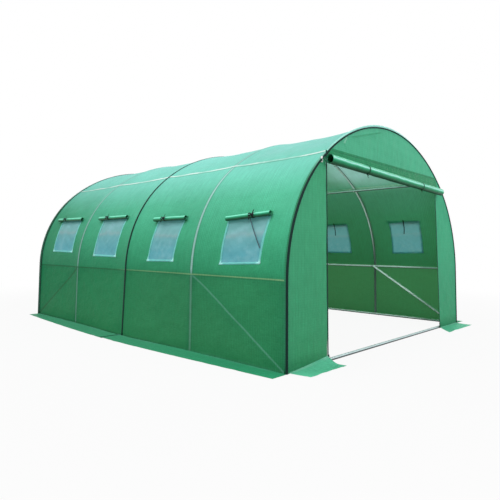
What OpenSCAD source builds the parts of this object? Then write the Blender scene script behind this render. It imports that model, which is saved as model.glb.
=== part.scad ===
/* [Frame] */
// Bays between hoops
bays = 4; // [2:2:8]
// Spacing of the hoops
bay_l = 1000; // [800:10:1300]
// Distance between the two legs of a hoop, centre to centre
span = 3075; // [2700:5:3600]
// Height of the straight leg below the bend
leg_h = 616; // [450:1:800]
// Bend radius of the haunch, at the tube's centre
haunch_r = 1190; // [1000:5:1300]
// Angle that the haunch turns through
haunch_sweep = 48; // [40:1:56]
// Outside diameter of the frame tube
tube_d = 25; // [19:1:38]
// Step in radius where one tube pushes into the next
swage_step = 1.5; // [0.5:0.5:4]
// Gap that shows between two joined tubes
swage_gap = 3; // [1:1:8]
// Length of a joint's neck inside each tube
swage_l = 12; // [8:1:60]
// Angle of the upper purlin from the top of the hoop
purlin_angle = 37.5; // [25:0.5:40]
// Height of the side rail above the ground
side_rail_h = 628; // [480:1:720]

/* [Cover] */
// Thickness of the sewn cover
cover_t = 3; // [2:0.5:5]
// Extra slack of the roof between two hoops
crown_sag = 12; // [0:1:80]
// Width of the skirt along the sides
skirt_w = 240; // [120:5:400]
// How far the outer corner of a side skirt reaches past the end wall
skirt_corner = 70; // [0:5:150]
// Thickness of the skirts
skirt_t = 3; // [2:0.5:5]

/* [End walls] */
// Thickness of the end wall cloth
panel_t = 3; // [2:0.5:5]
// Height of the seam under the header
header_h = 1610; // [1450:5:1700]
// How far the doorway's side stands out from the corner of the header, or in if less than 0
door_out = 5; // [-250:1:8]
// Width of the zip tape
zip_w = 14; // [8:1:30]
// Depth of the flaps in front of the end walls
flap_l = 227; // [120:1:350]
// How far a flap's outer edge leans away from the doorway
flap_lean = 100; // [0:5:200]
// How far a flap's outer corner reaches past the wall
flap_corner = 50; // [0:5:120]

/* [Door roll] */
// Outside diameter of the rolled door
door_roll_d = 82; // [60:1:120]
// Height of the middle of the rolled door
door_roll_h = 1500; // [1350:5:1540]
// How far the rolled door covers the side panels
door_lap = 20; // [5:1:60]
// Distance of each tie from the middle of the doorway
door_tie_x = 540; // [200:5:800]

/* [Windows] */
// Width of a window
win_w = 420; // [250:5:600]
// Height of a window along the cover
win_h = 418; // [250:1:560]
// Girth from the top of the leg to the window
win_sill = 135; // [60:1:240]
// Outside diameter of a rolled window flap
win_roll_d = 44; // [30:1:70]
// How far a window flap covers the cloth at each side
win_lap = 30; // [10:1:60]
// Distance from a flap's hem to the middle of its roll
win_drop = 45; // [34:1:80]

/* [Rolled cloth] */
// Thickness of the cloth in a roll
roll_t = 3; // [1.5:0.5:4]
// Space between the turns of a roll
roll_gap = 3; // [1:0.5:6]
// Radius of the open core of a roll
roll_core = 7; // [3:0.5:12]
// Height of the hem that a rolled cloth hangs from
hem_h = 15; // [8:1:25]
// Width of a tie ribbon
tie_w = 20; // [10:1:40]
// Thickness of a tie ribbon
tie_t = 1.5; // [1:0.5:3]

/* [Hidden] */
$fn = 48;
// Fragments of a full circle on the wide bends and on the tube
bend_fn = 240;
tube_fn = 48;
steel = "silver";
roof_cloth = "mediumaquamarine";
wall_cloth = "seagreen";
mesh_cloth = "lightslategray";
webbing = "black";

// Clearance between pieces that lie against each other
fit = 0.3;
tube_r = tube_d / 2;
half_l = bays * bay_l / 2;
half_span = span / 2;

// The hoop is a three-centred arch on straight legs
crown_half = 90 - haunch_sweep;
haunch_x = half_span - haunch_r;
crown_r = haunch_r + haunch_x / sin(crown_half);
crown_z = leg_h - (crown_r - haunch_r) * cos(crown_half);
crown_len = crown_r * crown_half * PI / 180;
haunch_len = haunch_r * haunch_sweep * PI / 180;
spring_s = crown_len + haunch_len;
girth_half = spring_s + leg_h;

// Rails lie inside the hoops, and braces inside the rails
layer = tube_d + fit;
wall_inner = tube_r + fit;
end_inner = half_l + tube_r + fit;
end_outer = end_inner + panel_t;

// Facets of the cover stand clear of the round hoop
crown_steps = 7;
haunch_steps = 8;
leg_steps = 2;
bay_steps = 6;
facet_rise = crown_r * (1 - cos(crown_half / crown_steps / 2));
cover_inner = wall_inner + facet_rise;
wall_sag = layer;

win_bottom_angle = 90 - win_sill / haunch_r * 180 / PI;
win_top_angle = 90 - (win_sill + win_h) / haunch_r * 180 / PI;
roll_stand = tie_t + 2 * fit;
roll_steps = 20;
tie_steps = 16;

// Angle of the arch's outward normal from the vertical at girth s from the crown
function turn(s) = s <= crown_len ? s / crown_len * crown_half
    : s <= spring_s ? crown_half + (s - crown_len) / haunch_len * haunch_sweep
    : 90;

// Point [x, z] of the arch at girth s from the crown, moved outwards by off
function arch(s, off) =
    let (a = abs(s), f = turn(a), n = [sin(f), cos(f)])
    let (base = a <= crown_len ? [0, crown_z] + crown_r * n
        : a <= spring_s ? [haunch_x, leg_h] + haunch_r * n
        : [half_span, leg_h + spring_s - a])
    let (p = base + off * n)
    [s < 0 ? -p[0] : p[0], p[1]];

// Point [x, z] of the haunch at an angle from the vertical, moved outwards by off
function haunch_point(angle, off) =
    [haunch_x + (haunch_r + off) * sin(angle), leg_h + (haunch_r + off) * cos(angle)];

// Half the width of the arch at height z, moved outwards by off
function arch_half_width(z, off) =
    let (haunch_top = leg_h + (haunch_r + off) * cos(crown_half))
    z <= leg_h ? half_span + off
    : z <= haunch_top ? haunch_x + sqrt(pow(haunch_r + off, 2) - pow(z - leg_h, 2))
    : sqrt(pow(crown_r + off, 2) - pow(z - crown_z, 2));

// Share of the slack that is left at girth s, which ends at the ground
function ground_fade(s) = s <= spring_s ? 1 : (girth_half - s) / leg_h;

// Slack of the cover at girth s and at the share v of a bay
function sag(s, v) =
    let (a = abs(s), across = 2 * v - 1)
    wall_sag * ground_fade(a) * (1 - pow(across, 4))
    + crown_sag * max(0, 1 - pow(turn(a) / purlin_angle, 2)) * (1 - pow(across, 2));

function share_of_bay(y) = abs(y) > half_l ? 0 : (y + half_l) / bay_l - floor((y + half_l) / bay_l);

module along_y(l) {
    rotate([90, 0, 0])
        linear_extrude(l, center = true)
            children();
}

module mirrored(side) {
    if (side < 0) mirror([1, 0, 0]) children();
    else children();
}

module tube_between(a, b) {
    v = b - a;
    l = norm(v);
    translate(a)
        rotate([0, acos(v[2] / l), atan2(v[1], v[0])])
            cylinder(d = tube_d, h = l);
}

// Bend of the tube about the origin, short of its two joints by half a joint's gap
module bent_tube(r, from, sweep) {
    end_gap = swage_gap / 2 / r * 180 / PI;
    rotate([90, 0, 0])
        rotate([0, 0, from + end_gap])
            rotate_extrude(angle = sweep - 2 * end_gap, $fn = bend_fn)
                translate([r, 0])
                    circle(d = tube_d, $fn = tube_fn);
}

// Narrow neck that one tube pushes into the next with
module swaged_neck() {
    cylinder(d = tube_d - 2 * swage_step, h = swage_gap + 2 * swage_l, center = true);
}

// Hoop of two legs, two haunches and a crown
module hoop(y) {
    color(steel) translate([0, y, 0]) {
        for (side = [-1, 1]) mirrored(side) {
            translate([half_span, 0, 0]) cylinder(d = tube_d, h = leg_h - swage_gap / 2);
            translate([half_span, 0, leg_h]) swaged_neck();
            translate([haunch_x, 0, leg_h]) {
                bent_tube(haunch_r, 0, haunch_sweep);
                rotate([0, -haunch_sweep, 0]) translate([haunch_r, 0, 0]) swaged_neck();
            }
        }
        translate([0, 0, crown_z]) bent_tube(crown_r, haunch_sweep, 2 * crown_half);
    }
}

// Rails along the tunnel
module rail(side, point, reach) {
    color(steel)
        mirrored(side)
            tube_between([point[0], -reach, point[1]], [point[0], reach, point[1]]);
}

function side_girth(z) = z <= leg_h ? spring_s + leg_h - z
    : crown_len + haunch_len * (crown_angle_at(z) - crown_half) / haunch_sweep;
function crown_angle_at(z) = acos((z - leg_h) / haunch_r);

module ground_rail(side) rail(side, [half_span - layer, tube_r], half_l - layer / 2);
module side_rail(side) rail(side, arch(side_girth(side_rail_h), -layer), half_l + tube_r);
module purlin(side) rail(side, arch(purlin_angle / crown_half * crown_len, -layer), half_l + tube_r);

module sill(end) {
    reach = half_span - tube_r - fit;
    color(steel) tube_between([-reach, end * half_l, tube_r], [reach, end * half_l, tube_r]);
}

// Brace from the side rail at the second hoop down to the foot of the end hoop
module brace(end, side) {
    x = half_span - 2 * layer;
    color(steel)
        mirrored(side)
            tube_between([x, end * (half_l - bay_l), side_rail_h], [x, end * (half_l - layer), tube_d]);
}

// Cover over half of the tunnel, pulled onto the rails and slack between the hoops
module cover_shell(end) {
    side_stations = concat(
        [for (i = [0:crown_steps - 1]) crown_len * i / crown_steps],
        [for (i = [0:haunch_steps - 1]) crown_len + haunch_len * i / haunch_steps],
        [for (i = [0:leg_steps]) spring_s + (leg_h - skirt_t) * i / leg_steps]
    );
    last = len(side_stations) - 1;
    s_at = concat([for (i = [last:-1:1]) -side_stations[i]], side_stations);
    steps = bays / 2 * bay_steps;
    inner_y = [for (j = [1:steps]) half_l * j / steps];
    y_at = concat([fit / 2], inner_y, [end_outer]);
    y_signed = end > 0 ? y_at : [for (j = [len(y_at) - 1:-1:0]) -y_at[j]];
    m = len(s_at);
    n = len(y_signed);
    points = [
        for (k = [cover_t, 0]) for (s = s_at) for (y = y_signed)
            let (p = arch(s, cover_inner + k - sag(s, share_of_bay(y))))
            [p[0], y, p[1]]
    ];
    inner = m * n;
    skin = [
        for (i = [0:m - 2]) for (j = [0:n - 2])
            let (a = i * n + j, b = a + n)
            each [
                [a, a + 1, b + 1], [a, b + 1, b],
                [inner + a, inner + b + 1, inner + a + 1], [inner + a, inner + b, inner + b + 1]
            ]
    ];
    ends = [
        for (i = [0:m - 2])
            let (a = i * n, b = a + n, c = a + n - 1, d = c + n)
            each [
                [a, b, inner + b], [a, inner + b, inner + a],
                [d, c, inner + c], [d, inner + c, inner + d]
            ]
    ];
    hems = [
        for (j = [0:n - 2])
            let (a = j, b = (m - 1) * n + j)
            each [
                [a + 1, a, inner + a], [a + 1, inner + a, inner + a + 1],
                [b, b + 1, inner + b + 1], [b, inner + b + 1, inner + b]
            ]
    ];
    polyhedron(points, concat(skin, ends, hems));
}

// Middles of the windows along the tunnel, from the rear to the front
function window_y(k) = half_l - (k - 0.5) * bay_l;

module window_prism() {
    reach = 3 * wall_sag;
    along_y(win_w)
        polygon([
            haunch_point(win_top_angle, -reach), haunch_point(win_top_angle, reach),
            haunch_point(win_bottom_angle, reach), haunch_point(win_bottom_angle, -reach)
        ]);
}

module cover(end) {
    color(roof_cloth)
        difference() {
            cover_shell(end);
            for (side = [-1, 1]) for (k = [1:bays]) if (end * window_y(k) > 0)
                mirrored(side) translate([0, window_y(k), 0]) window_prism();
        }
}

// Screen of netting that fills a window, on the line of the slack cover
module window_screen() {
    r_in = haunch_r + cover_inner - wall_sag;
    r_out = r_in + cover_t;
    edge = fit / haunch_r * 180 / PI;
    far = 2 * r_out;
    top = win_top_angle + edge;
    bottom = win_bottom_angle - edge;
    translate([haunch_x, 0, leg_h])
        along_y(win_w - 2 * fit)
            intersection() {
                difference() {
                    circle(r_out, $fn = bend_fn);
                    circle(r_in, $fn = bend_fn);
                }
                polygon([[0, 0], far * [sin(top), cos(top)], far * [sin(bottom), cos(bottom)]]);
            }
}

module window_screens(side) {
    color(mesh_cloth)
        for (k = [1:bays]) mirrored(side) translate([0, window_y(k), 0]) window_screen();
}

// Outline of a cloth that hangs from a hem and is rolled up outwards, with the hem above the origin
module roll_outline(roll_d, drop) {
    mid_x = roll_stand + roll_t / 2;
    r0 = (roll_d - roll_t) / 2;
    pitch = roll_t + roll_gap;
    turns = (r0 - roll_core) / pitch;
    count = ceil(turns * roll_steps);
    spiral = [
        for (i = [0:count])
            let (a = 360 * turns * i / count)
            [r0 - pitch * a / 360, -cos(a), -sin(a)]
    ];
    centre = [mid_x + r0, 0];
    outside = [for (p = spiral) centre + (p[0] + roll_t / 2) * [p[1], p[2]]];
    inside = [for (i = [count:-1:0]) centre + (spiral[i][0] - roll_t / 2) * [spiral[i][1], spiral[i][2]]];
    polygon(concat([[roll_stand, drop]], outside, inside, [[roll_stand + roll_t, drop]]));
    translate([fit, drop - hem_h]) square([roll_stand + roll_t - fit, hem_h]);
}

// Outline of a ribbon that runs from the hem around the roll and back
module tie_outline(roll_d, drop) {
    centre_x = roll_stand + roll_d / 2;
    r_in = roll_d / 2 + fit;
    r_out = r_in + tie_t;
    top = drop - hem_h - fit;
    lead_x = roll_stand + roll_t + fit;
    v = [lead_x + tie_t - centre_x, top];
    start = atan2(v[1], v[0]) - acos(r_out / norm(v));
    function around(r) = [
        for (i = [0:tie_steps])
            let (a = 180 + (180 + start) * i / tie_steps)
            [centre_x + r * cos(a), r * sin(a)]
    ];
    ring_in = around(r_in);
    polygon(concat(
        [[centre_x - r_out, top]], around(r_out), [[lead_x + tie_t, top], [lead_x, top]],
        [for (i = [tie_steps:-1:0]) ring_in[i]], [[centre_x - r_in, top]]
    ));
}

// Slack of the wall at the share v of a bay, straight between the cover's stations
function wall_slack(v) =
    let (k = floor(v * bay_steps), t = v * bay_steps - k)
    (1 - t) * sag(spring_s, k / bay_steps) + t * sag(spring_s, (k + 1) / bay_steps);

// How far a flat facet of the haunch lies inside its round of radius r
function facet_drop(angle, r) =
    let (step = haunch_sweep / haunch_steps)
    let (mid = crown_half + (floor((angle - crown_half) / step) + 0.5) * step)
    r - r * cos(step / 2) / cos(angle - mid);

// Place of a window's roll on the slack cover, with the outline's y along the cover
module at_window_top() {
    hem_mid = win_drop - hem_h / 2;
    angle = win_top_angle - hem_mid / haunch_r * 180 / PI;
    off = cover_inner + cover_t - wall_slack(0.5 - (win_w / 2 + win_lap) / bay_l);
    seat = off - facet_drop(angle, haunch_r + off);
    translate(haunch_point(angle, seat))
        rotate(90 - angle)
            translate([0, -hem_mid])
                children();
}

module window_flap(side, k) {
    color(wall_cloth)
        mirrored(side)
            translate([0, window_y(k), 0])
                along_y(win_w + 2 * win_lap)
                    at_window_top() roll_outline(win_roll_d, win_drop);
}

module window_ties(side) {
    color(webbing)
        for (k = [1:bays]) mirrored(side)
            translate([0, window_y(k), 0])
                along_y(tie_w)
                    at_window_top() tie_outline(win_roll_d, win_drop);
}

// End walls, cut from the outline of the arch
module arch_outline(off) {
    translate([0, crown_z]) intersection() {
        circle(crown_r + off, $fn = bend_fn);
        reach = 2 * crown_r * [sin(crown_half), cos(crown_half)];
        polygon([[0, 0], reach, [-reach[0], reach[1]]]);
    }
    for (side = [-1, 1]) mirror([side < 0 ? 1 : 0, 0]) {
        translate([haunch_x, leg_h]) intersection() {
            circle(haunch_r + off, $fn = bend_fn);
            square(2 * haunch_r);
        }
    }
    tops = [haunch_x, leg_h];
    polygon([tops, [0, crown_z], [-tops[0], tops[1]]]);
    translate([-half_span - off, 0]) square([span + 2 * off, leg_h]);
    translate([-haunch_x, leg_h]) square([2 * haunch_x, haunch_r * cos(crown_half)]);
}

module end_sheet(end, outline) {
    translate([0, end * (end_inner + end_outer) / 2, 0])
        along_y(panel_t)
            intersection() {
                arch_outline(tube_r);
                polygon(outline);
            }
}

far_x = span;
far_z = 2 * crown_r;
door_half = arch_half_width(header_h, tube_r) + door_out;
header_bottom = [[-far_x, header_h], [far_x, header_h]];
header_top = [[far_x, far_z], [-far_x, far_z]];

// Side of the doorway, from the ground up to the header, moved inwards
function door_edge(side, inwards) =
    [for (z = [skirt_t, header_h - fit]) [side * (door_half - inwards), z]];
function reversed(points) = [for (i = [len(points) - 1:-1:0]) points[i]];

module header(end) {
    color(wall_cloth) end_sheet(end, concat(header_bottom, header_top));
}

module panel(end, side) {
    wall_edge = [[side * far_x, header_h - fit], [side * far_x, skirt_t]];
    color(wall_cloth) end_sheet(end, concat(door_edge(side, 0), wall_edge));
}

module rear_door() {
    color(wall_cloth) end_sheet(1, concat(door_edge(-1, zip_w), reversed(door_edge(1, zip_w))));
}

module door_zips() {
    color(webbing)
        for (end = [-1, 1]) for (side = [-1, 1])
            end_sheet(end, concat(door_edge(side, 0), reversed(door_edge(side, zip_w))));
}

module at_door_top() {
    translate([0, -end_outer, door_roll_h])
        rotate([90, 0, -90])
            children();
}

door_drop = header_h + hem_h - door_roll_h;

module door_roll() {
    color(wall_cloth)
        at_door_top()
            linear_extrude(2 * (door_half + door_lap), center = true)
                roll_outline(door_roll_d, door_drop);
}

module door_ties() {
    color(webbing)
        for (side = [-1, 1])
            translate([side * door_tie_x, 0, 0])
                at_door_top()
                    linear_extrude(tie_w, center = true)
                        tie_outline(door_roll_d, door_drop);
}

// Skirts that lie on the ground
module skirts(side) {
    x_in = half_span + wall_inner;
    x_out = x_in + skirt_w;
    color(wall_cloth)
        mirrored(side)
            for (end = [-1, 1])
                linear_extrude(skirt_t)
                    polygon([
                        [x_in, end * fit / 2], [x_out, end * fit / 2],
                        [x_out, end * (end_outer + skirt_corner)], [x_in, end * end_outer]
                    ]);
}

module flaps(end) {
    y_in = end * end_inner;
    y_out = end * (end_inner + flap_l);
    color(wall_cloth)
        for (side = [-1, 1])
            linear_extrude(skirt_t)
                polygon([
                    [side * door_half, y_in], [side * (door_half + flap_lean), y_out],
                    [side * (half_span + flap_corner), y_out], [side * half_span, y_in]
                ]);
}

hoop(-half_l);  // front_hoop
hoop(-half_l / 2);  // front_middle_hoop
hoop(0);  // middle_hoop
hoop(half_l / 2);  // rear_middle_hoop
hoop(half_l);  // rear_hoop
ground_rail(-1);  // left_ground_rail
ground_rail(1);  // right_ground_rail
side_rail(-1);  // left_side_rail
side_rail(1);  // right_side_rail
purlin(-1);  // left_purlin
purlin(1);  // right_purlin
sill(-1);  // front_sill
sill(1);  // rear_sill
brace(-1, -1);  // front_left_brace
brace(-1, 1);  // front_right_brace
brace(1, -1);  // rear_left_brace
brace(1, 1);  // rear_right_brace
cover(-1);  // front_cover
cover(1);  // rear_cover
header(-1);  // front_header
panel(-1, -1);  // front_left_panel
panel(-1, 1);  // front_right_panel
door_roll();  // front_door_roll
door_ties();  // front_door_ties
header(1);  // rear_header
panel(1, -1);  // rear_left_panel
panel(1, 1);  // rear_right_panel
rear_door();
door_zips();
window_screens(-1);  // left_window_screens
window_screens(1);  // right_window_screens
window_flap(-1, 1);  // left_window_flap_1
window_flap(-1, 2);  // left_window_flap_2
window_flap(-1, 3);  // left_window_flap_3
window_flap(-1, 4);  // left_window_flap_4
window_flap(1, 1);  // right_window_flap_1
window_flap(1, 2);  // right_window_flap_2
window_flap(1, 3);  // right_window_flap_3
window_flap(1, 4);  // right_window_flap_4
window_ties(-1);  // left_window_ties
window_ties(1);  // right_window_ties
skirts(-1);  // left_skirts
skirts(1);  // right_skirts
flaps(-1);  // front_flaps
flaps(1);  // rear_flaps
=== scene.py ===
import math
import random

import bpy
import numpy as np
from mathutils import Matrix, Quaternion, Vector


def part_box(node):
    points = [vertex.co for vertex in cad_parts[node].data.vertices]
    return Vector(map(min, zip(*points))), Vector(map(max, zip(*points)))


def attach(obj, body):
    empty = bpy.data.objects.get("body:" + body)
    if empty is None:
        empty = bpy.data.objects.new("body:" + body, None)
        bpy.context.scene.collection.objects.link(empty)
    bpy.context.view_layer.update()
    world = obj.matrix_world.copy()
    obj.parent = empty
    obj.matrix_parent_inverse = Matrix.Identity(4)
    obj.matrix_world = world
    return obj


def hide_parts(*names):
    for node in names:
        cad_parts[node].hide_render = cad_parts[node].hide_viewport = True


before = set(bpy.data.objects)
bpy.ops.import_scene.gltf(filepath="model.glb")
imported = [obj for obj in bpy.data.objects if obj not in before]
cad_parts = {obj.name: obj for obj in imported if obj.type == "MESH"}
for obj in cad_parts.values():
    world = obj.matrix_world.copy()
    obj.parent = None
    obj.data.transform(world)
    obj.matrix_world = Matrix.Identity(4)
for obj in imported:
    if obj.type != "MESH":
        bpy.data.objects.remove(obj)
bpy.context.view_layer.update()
print("frame loaded:", len(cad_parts), "nodes")


# the hoop's shape, as the frame has it

hoopLow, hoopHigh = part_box("front_hoop")
headerLow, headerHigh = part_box("front_header")
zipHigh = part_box("door_zips")[1]
doorRollLow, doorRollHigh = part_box("front_door_roll")
skirtLow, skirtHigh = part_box("left_skirts")

tunnel = {
    "leg": 0.616,            # straight leg under the bend
    "haunch": 1.19,          # bend radius of the haunch, at the tube's middle
    "sweep": 48.0,           # degrees that the haunch turns
    "bay": 1.0,              # hoop spacing
    "bays": 4,
    "layer": 0.0253,         # rails lie this far inside the hoops
    "coverOff": 0.0166,      # cloth over the tube's middle line
    "crownSag": 0.012,       # roof between two hoops
    "roofTaut": 0.35,        # share of the wall's slack that is left from the purlin up
    "purlinAngle": 37.5,     # upper purlin, from the top
    "sideRail": 0.628,       # height of the side rail
    "loose": 0.65,           # the wall has its full slack from this girth over the leg down
}
sides = ((-1, "left"), (1, "right"))
ends = ((-1, "front"), (1, "rear"))
fullTurn = 6.28318   # radians
tube = hoopHigh.y - hoopLow.y
tubeR = tube / 2
halfSpan = hoopHigh.x - tubeR
halfLength = -(hoopLow.y + hoopHigh.y) / 2
hoopYs = [-halfLength + tunnel["bay"] * k for k in range(tunnel["bays"] + 1)]
wallY = -(headerLow.y + headerHigh.y) / 2   # cloth of the end walls
seamZ = headerLow.z
doorHalf = zipHigh.x

leg = tunnel["leg"]
haunchR = tunnel["haunch"]
crownHalf = math.radians(90 - tunnel["sweep"])
haunchX = halfSpan - haunchR
crownR = haunchR + haunchX / math.sin(crownHalf)
crownZ = leg - (crownR - haunchR) * math.cos(crownHalf)
crownLength = crownR * crownHalf
springGirth = crownLength + haunchR * math.radians(tunnel["sweep"])
footGirth = springGirth + leg
purlinGirth = crownR * math.radians(tunnel["purlinAngle"])
railGirth = springGirth - (tunnel["sideRail"] - leg)
looseGirth = springGirth - tunnel["loose"]


def turnAt(girth):
    s = np.abs(girth)
    bend = crownHalf + (s - crownLength) / haunchR
    return np.where(s <= crownLength, s / crownR, np.minimum(bend, math.pi / 2))


def archAt(girth, off):   # x and z on the arch, girth measured from the crown, minus on the left
    s = np.abs(girth)
    f = turnAt(s)
    crown = s <= crownLength
    x = np.where(crown, crownR * np.sin(f), haunchX + haunchR * np.sin(f)) + off * np.sin(f)
    z = np.where(crown, crownZ + crownR * np.cos(f), leg + haunchR * np.cos(f)) + off * np.cos(f)
    return np.sign(girth) * x, np.where(s > springGirth, footGirth - s, z)


def archHalf(z, off):   # half the arch's width at a height
    z = np.asarray(z, float)
    onHaunch = haunchX + np.sqrt(np.maximum((haunchR + off) ** 2 - (z - leg) ** 2, 0))
    onCrown = np.sqrt(np.maximum((crownR + off) ** 2 - (z - crownZ) ** 2, 0))
    haunchTop = leg + (haunchR + off) * math.cos(crownHalf)
    return np.where(z <= leg, halfSpan + off, np.where(z <= haunchTop, onHaunch, onCrown))


def crownAt(x, off):   # height of the arch over x, near the top
    return crownZ + np.sqrt((crownR + off) ** 2 - np.asarray(x, float) ** 2)


def acrossBay(y):   # -1 and 1 at the hoops, 0 between them
    inside = np.clip((np.asarray(y, float) + halfLength) / tunnel["bay"], 0, tunnel["bays"])
    return 2 * (inside - np.minimum(np.floor(inside), tunnel["bays"] - 1)) - 1


def slackAt(girth, y):
    s = np.abs(girth)
    c = acrossBay(y)
    loose = np.clip((s - purlinGirth) / (looseGirth - purlinGirth), 0, 1)
    fade = np.clip((footGirth - s) / leg, 0, 1) * (tunnel["roofTaut"] + (1 - tunnel["roofTaut"]) * loose)
    roof = np.maximum(0, 1 - (turnAt(s) / math.radians(tunnel["purlinAngle"])) ** 2)
    return tunnel["layer"] * fade * (1 - c ** 4) + tunnel["crownSag"] * roof * (1 - c ** 2)


def waves(u, v, seed, longest, shortest, count=7):   # soft uneven ripples from -1 to 1
    dice = random.Random(seed)
    total = 0 * u
    for k in range(count):
        size = longest * (shortest / longest) ** (k / (count - 1))
        way = dice.uniform(0, math.pi)
        start = dice.uniform(0, 6.28)
        total = total + np.sin((u * math.cos(way) + v * math.sin(way)) * 6.283 / size + start)
    return total / count ** 0.5


def puckers(u, v, points, reach, folds):   # small folds that run out of the points where cloth is held
    total = 0 * u
    for k, (pu, pv) in enumerate(points):
        far = np.hypot(u - pu, v - pv)
        way = np.arctan2(v - pv, u - pu)
        total = total + np.exp(-(far / reach) ** 2) * far / (far + 0.03) * np.cos(folds * way + 1.7 * k)
    return total


# making and dressing pieces

def clearSelection():
    bpy.ops.object.select_all(action="DESELECT")


def stations(marks, step):   # even steps that pass through every mark
    line = [marks[0]]
    for a, b in zip(marks, marks[1:]):
        n = max(1, round(abs(b - a) / step))
        line += [a + (b - a) * k / n for k in range(1, n + 1)]
    return line


def weave(name, across, along, place, flat=None, drop=None):
    # a grid of cloth, moved to its place, with metres of cloth in its UV map
    clearSelection()
    bpy.ops.mesh.primitive_grid_add(x_subdivisions=len(across) - 1, y_subdivisions=len(along) - 1, size=2)
    piece = bpy.context.object
    piece.name = piece.data.name = name
    mesh = piece.data
    co = np.empty(len(mesh.vertices) * 3)
    mesh.vertices.foreach_get("co", co)
    co = co.reshape(-1, 3)
    u = np.asarray(across, float)[np.rint((co[:, 0] + 1) / 2 * (len(across) - 1)).astype(int)]
    v = np.asarray(along, float)[np.rint((co[:, 1] + 1) / 2 * (len(along) - 1)).astype(int)]
    x, y, z = place(u, v)
    mesh.vertices.foreach_set("co", np.stack([x + 0 * u, y + 0 * u, z + 0 * u], axis=1).ravel())
    corner = np.empty(len(mesh.loops), np.int32)
    mesh.loops.foreach_get("vertex_index", corner)
    cloth = np.stack(flat(u, v) if flat else (u, v), axis=1)
    mesh.uv_layers[0].uv.foreach_set("vector", cloth[corner].ravel())
    if drop:   # leave out the faces whose middle the test picks
        faces = corner.reshape(-1, 4)
        out = drop(u[faces].mean(axis=1), v[faces].mean(axis=1))
        mesh.vertices.foreach_set("select", np.zeros(len(mesh.vertices), bool))
        mesh.edges.foreach_set("select", np.zeros(len(mesh.edges), bool))
        mesh.polygons.foreach_set("select", out)
        bpy.context.tool_settings.mesh_select_mode = (False, False, True)
        bpy.ops.object.mode_set(mode="EDIT")
        bpy.ops.mesh.delete(type="FACE")
        bpy.ops.object.mode_set(mode="OBJECT")
    mesh.update()
    bpy.ops.object.shade_smooth()
    return piece


def editAll(piece):
    clearSelection()
    piece.select_set(True)
    bpy.context.view_layer.objects.active = piece
    bpy.ops.object.mode_set(mode="EDIT")
    bpy.ops.mesh.select_all(action="SELECT")


def closeSeams(piece, near=1e-5):   # merges doubles
    editAll(piece)
    bpy.ops.mesh.remove_doubles(threshold=near)
    bpy.ops.object.mode_set(mode="OBJECT")


def modify(piece, kind, **settings):
    clearSelection()
    piece.select_set(True)
    bpy.context.view_layer.objects.active = piece
    made = piece.modifiers.new(kind.title(), kind)
    for key, value in settings.items():
        setattr(made, key, value)
    bpy.ops.object.modifier_apply(modifier=made.name)


def thicken(piece, thickness):
    modify(piece, "SOLIDIFY", thickness=thickness, offset=0.0)


def settle(piece):   # puts an object's place into its mesh
    clearSelection()
    piece.select_set(True)
    bpy.context.view_layer.objects.active = piece
    bpy.ops.object.transform_apply(location=True, rotation=True, scale=True)


def moveMesh(piece, matrix):
    piece.data.transform(matrix)
    if matrix.determinant() < 0:
        piece.data.flip_normals()
    piece.data.update()


def copyTo(piece, name, matrix):   # a copy with a mesh of its own
    twin = piece.copy()
    twin.data = piece.data.copy()
    twin.name = twin.data.name = name
    bpy.context.collection.objects.link(twin)
    moveMesh(twin, matrix)
    return twin


def addBlock(size, place, bevel, segments):   # a cube with rounded edges
    clearSelection()
    bpy.ops.mesh.primitive_cube_add(size=1, location=place, scale=size)
    block = bpy.context.object
    settle(block)
    modify(block, "BEVEL", width=bevel, segments=segments)
    return block


def addRing(ringR, wireR, place, fineness):   # a wire ring that faces along the tunnel
    clearSelection()
    bpy.ops.mesh.primitive_torus_add(major_radius=ringR, minor_radius=wireR, major_segments=fineness[0],
                                     minor_segments=fineness[1], location=place, rotation=(math.pi / 2, 0, 0))
    ring = bpy.context.object
    settle(ring)
    return ring


def addDisc(corners, radius, depth, z, bevel=0.0):   # a short cylinder, its middle at z
    clearSelection()
    bpy.ops.mesh.primitive_cylinder_add(vertices=corners, radius=radius, depth=depth, location=(0, 0, z))
    disc = bpy.context.object
    settle(disc)
    if bevel:
        modify(disc, "BEVEL", width=bevel, segments=2)
    return disc


def joinAs(name, pieces):
    clearSelection()
    for piece in pieces:
        piece.select_set(True)
    bpy.context.view_layer.objects.active = pieces[0]
    bpy.ops.object.join()
    made = bpy.context.object
    made.name = made.data.name = name
    return made


def dress(piece, paint, slot, *stands):
    piece.data.materials.clear()
    piece.data.materials.append(paint)
    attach(piece, "root")
    if stands:
        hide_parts(*stands)
    return piece


def areaOf(piece):
    return sum(face.area for face in piece.data.polygons)


# paints

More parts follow.
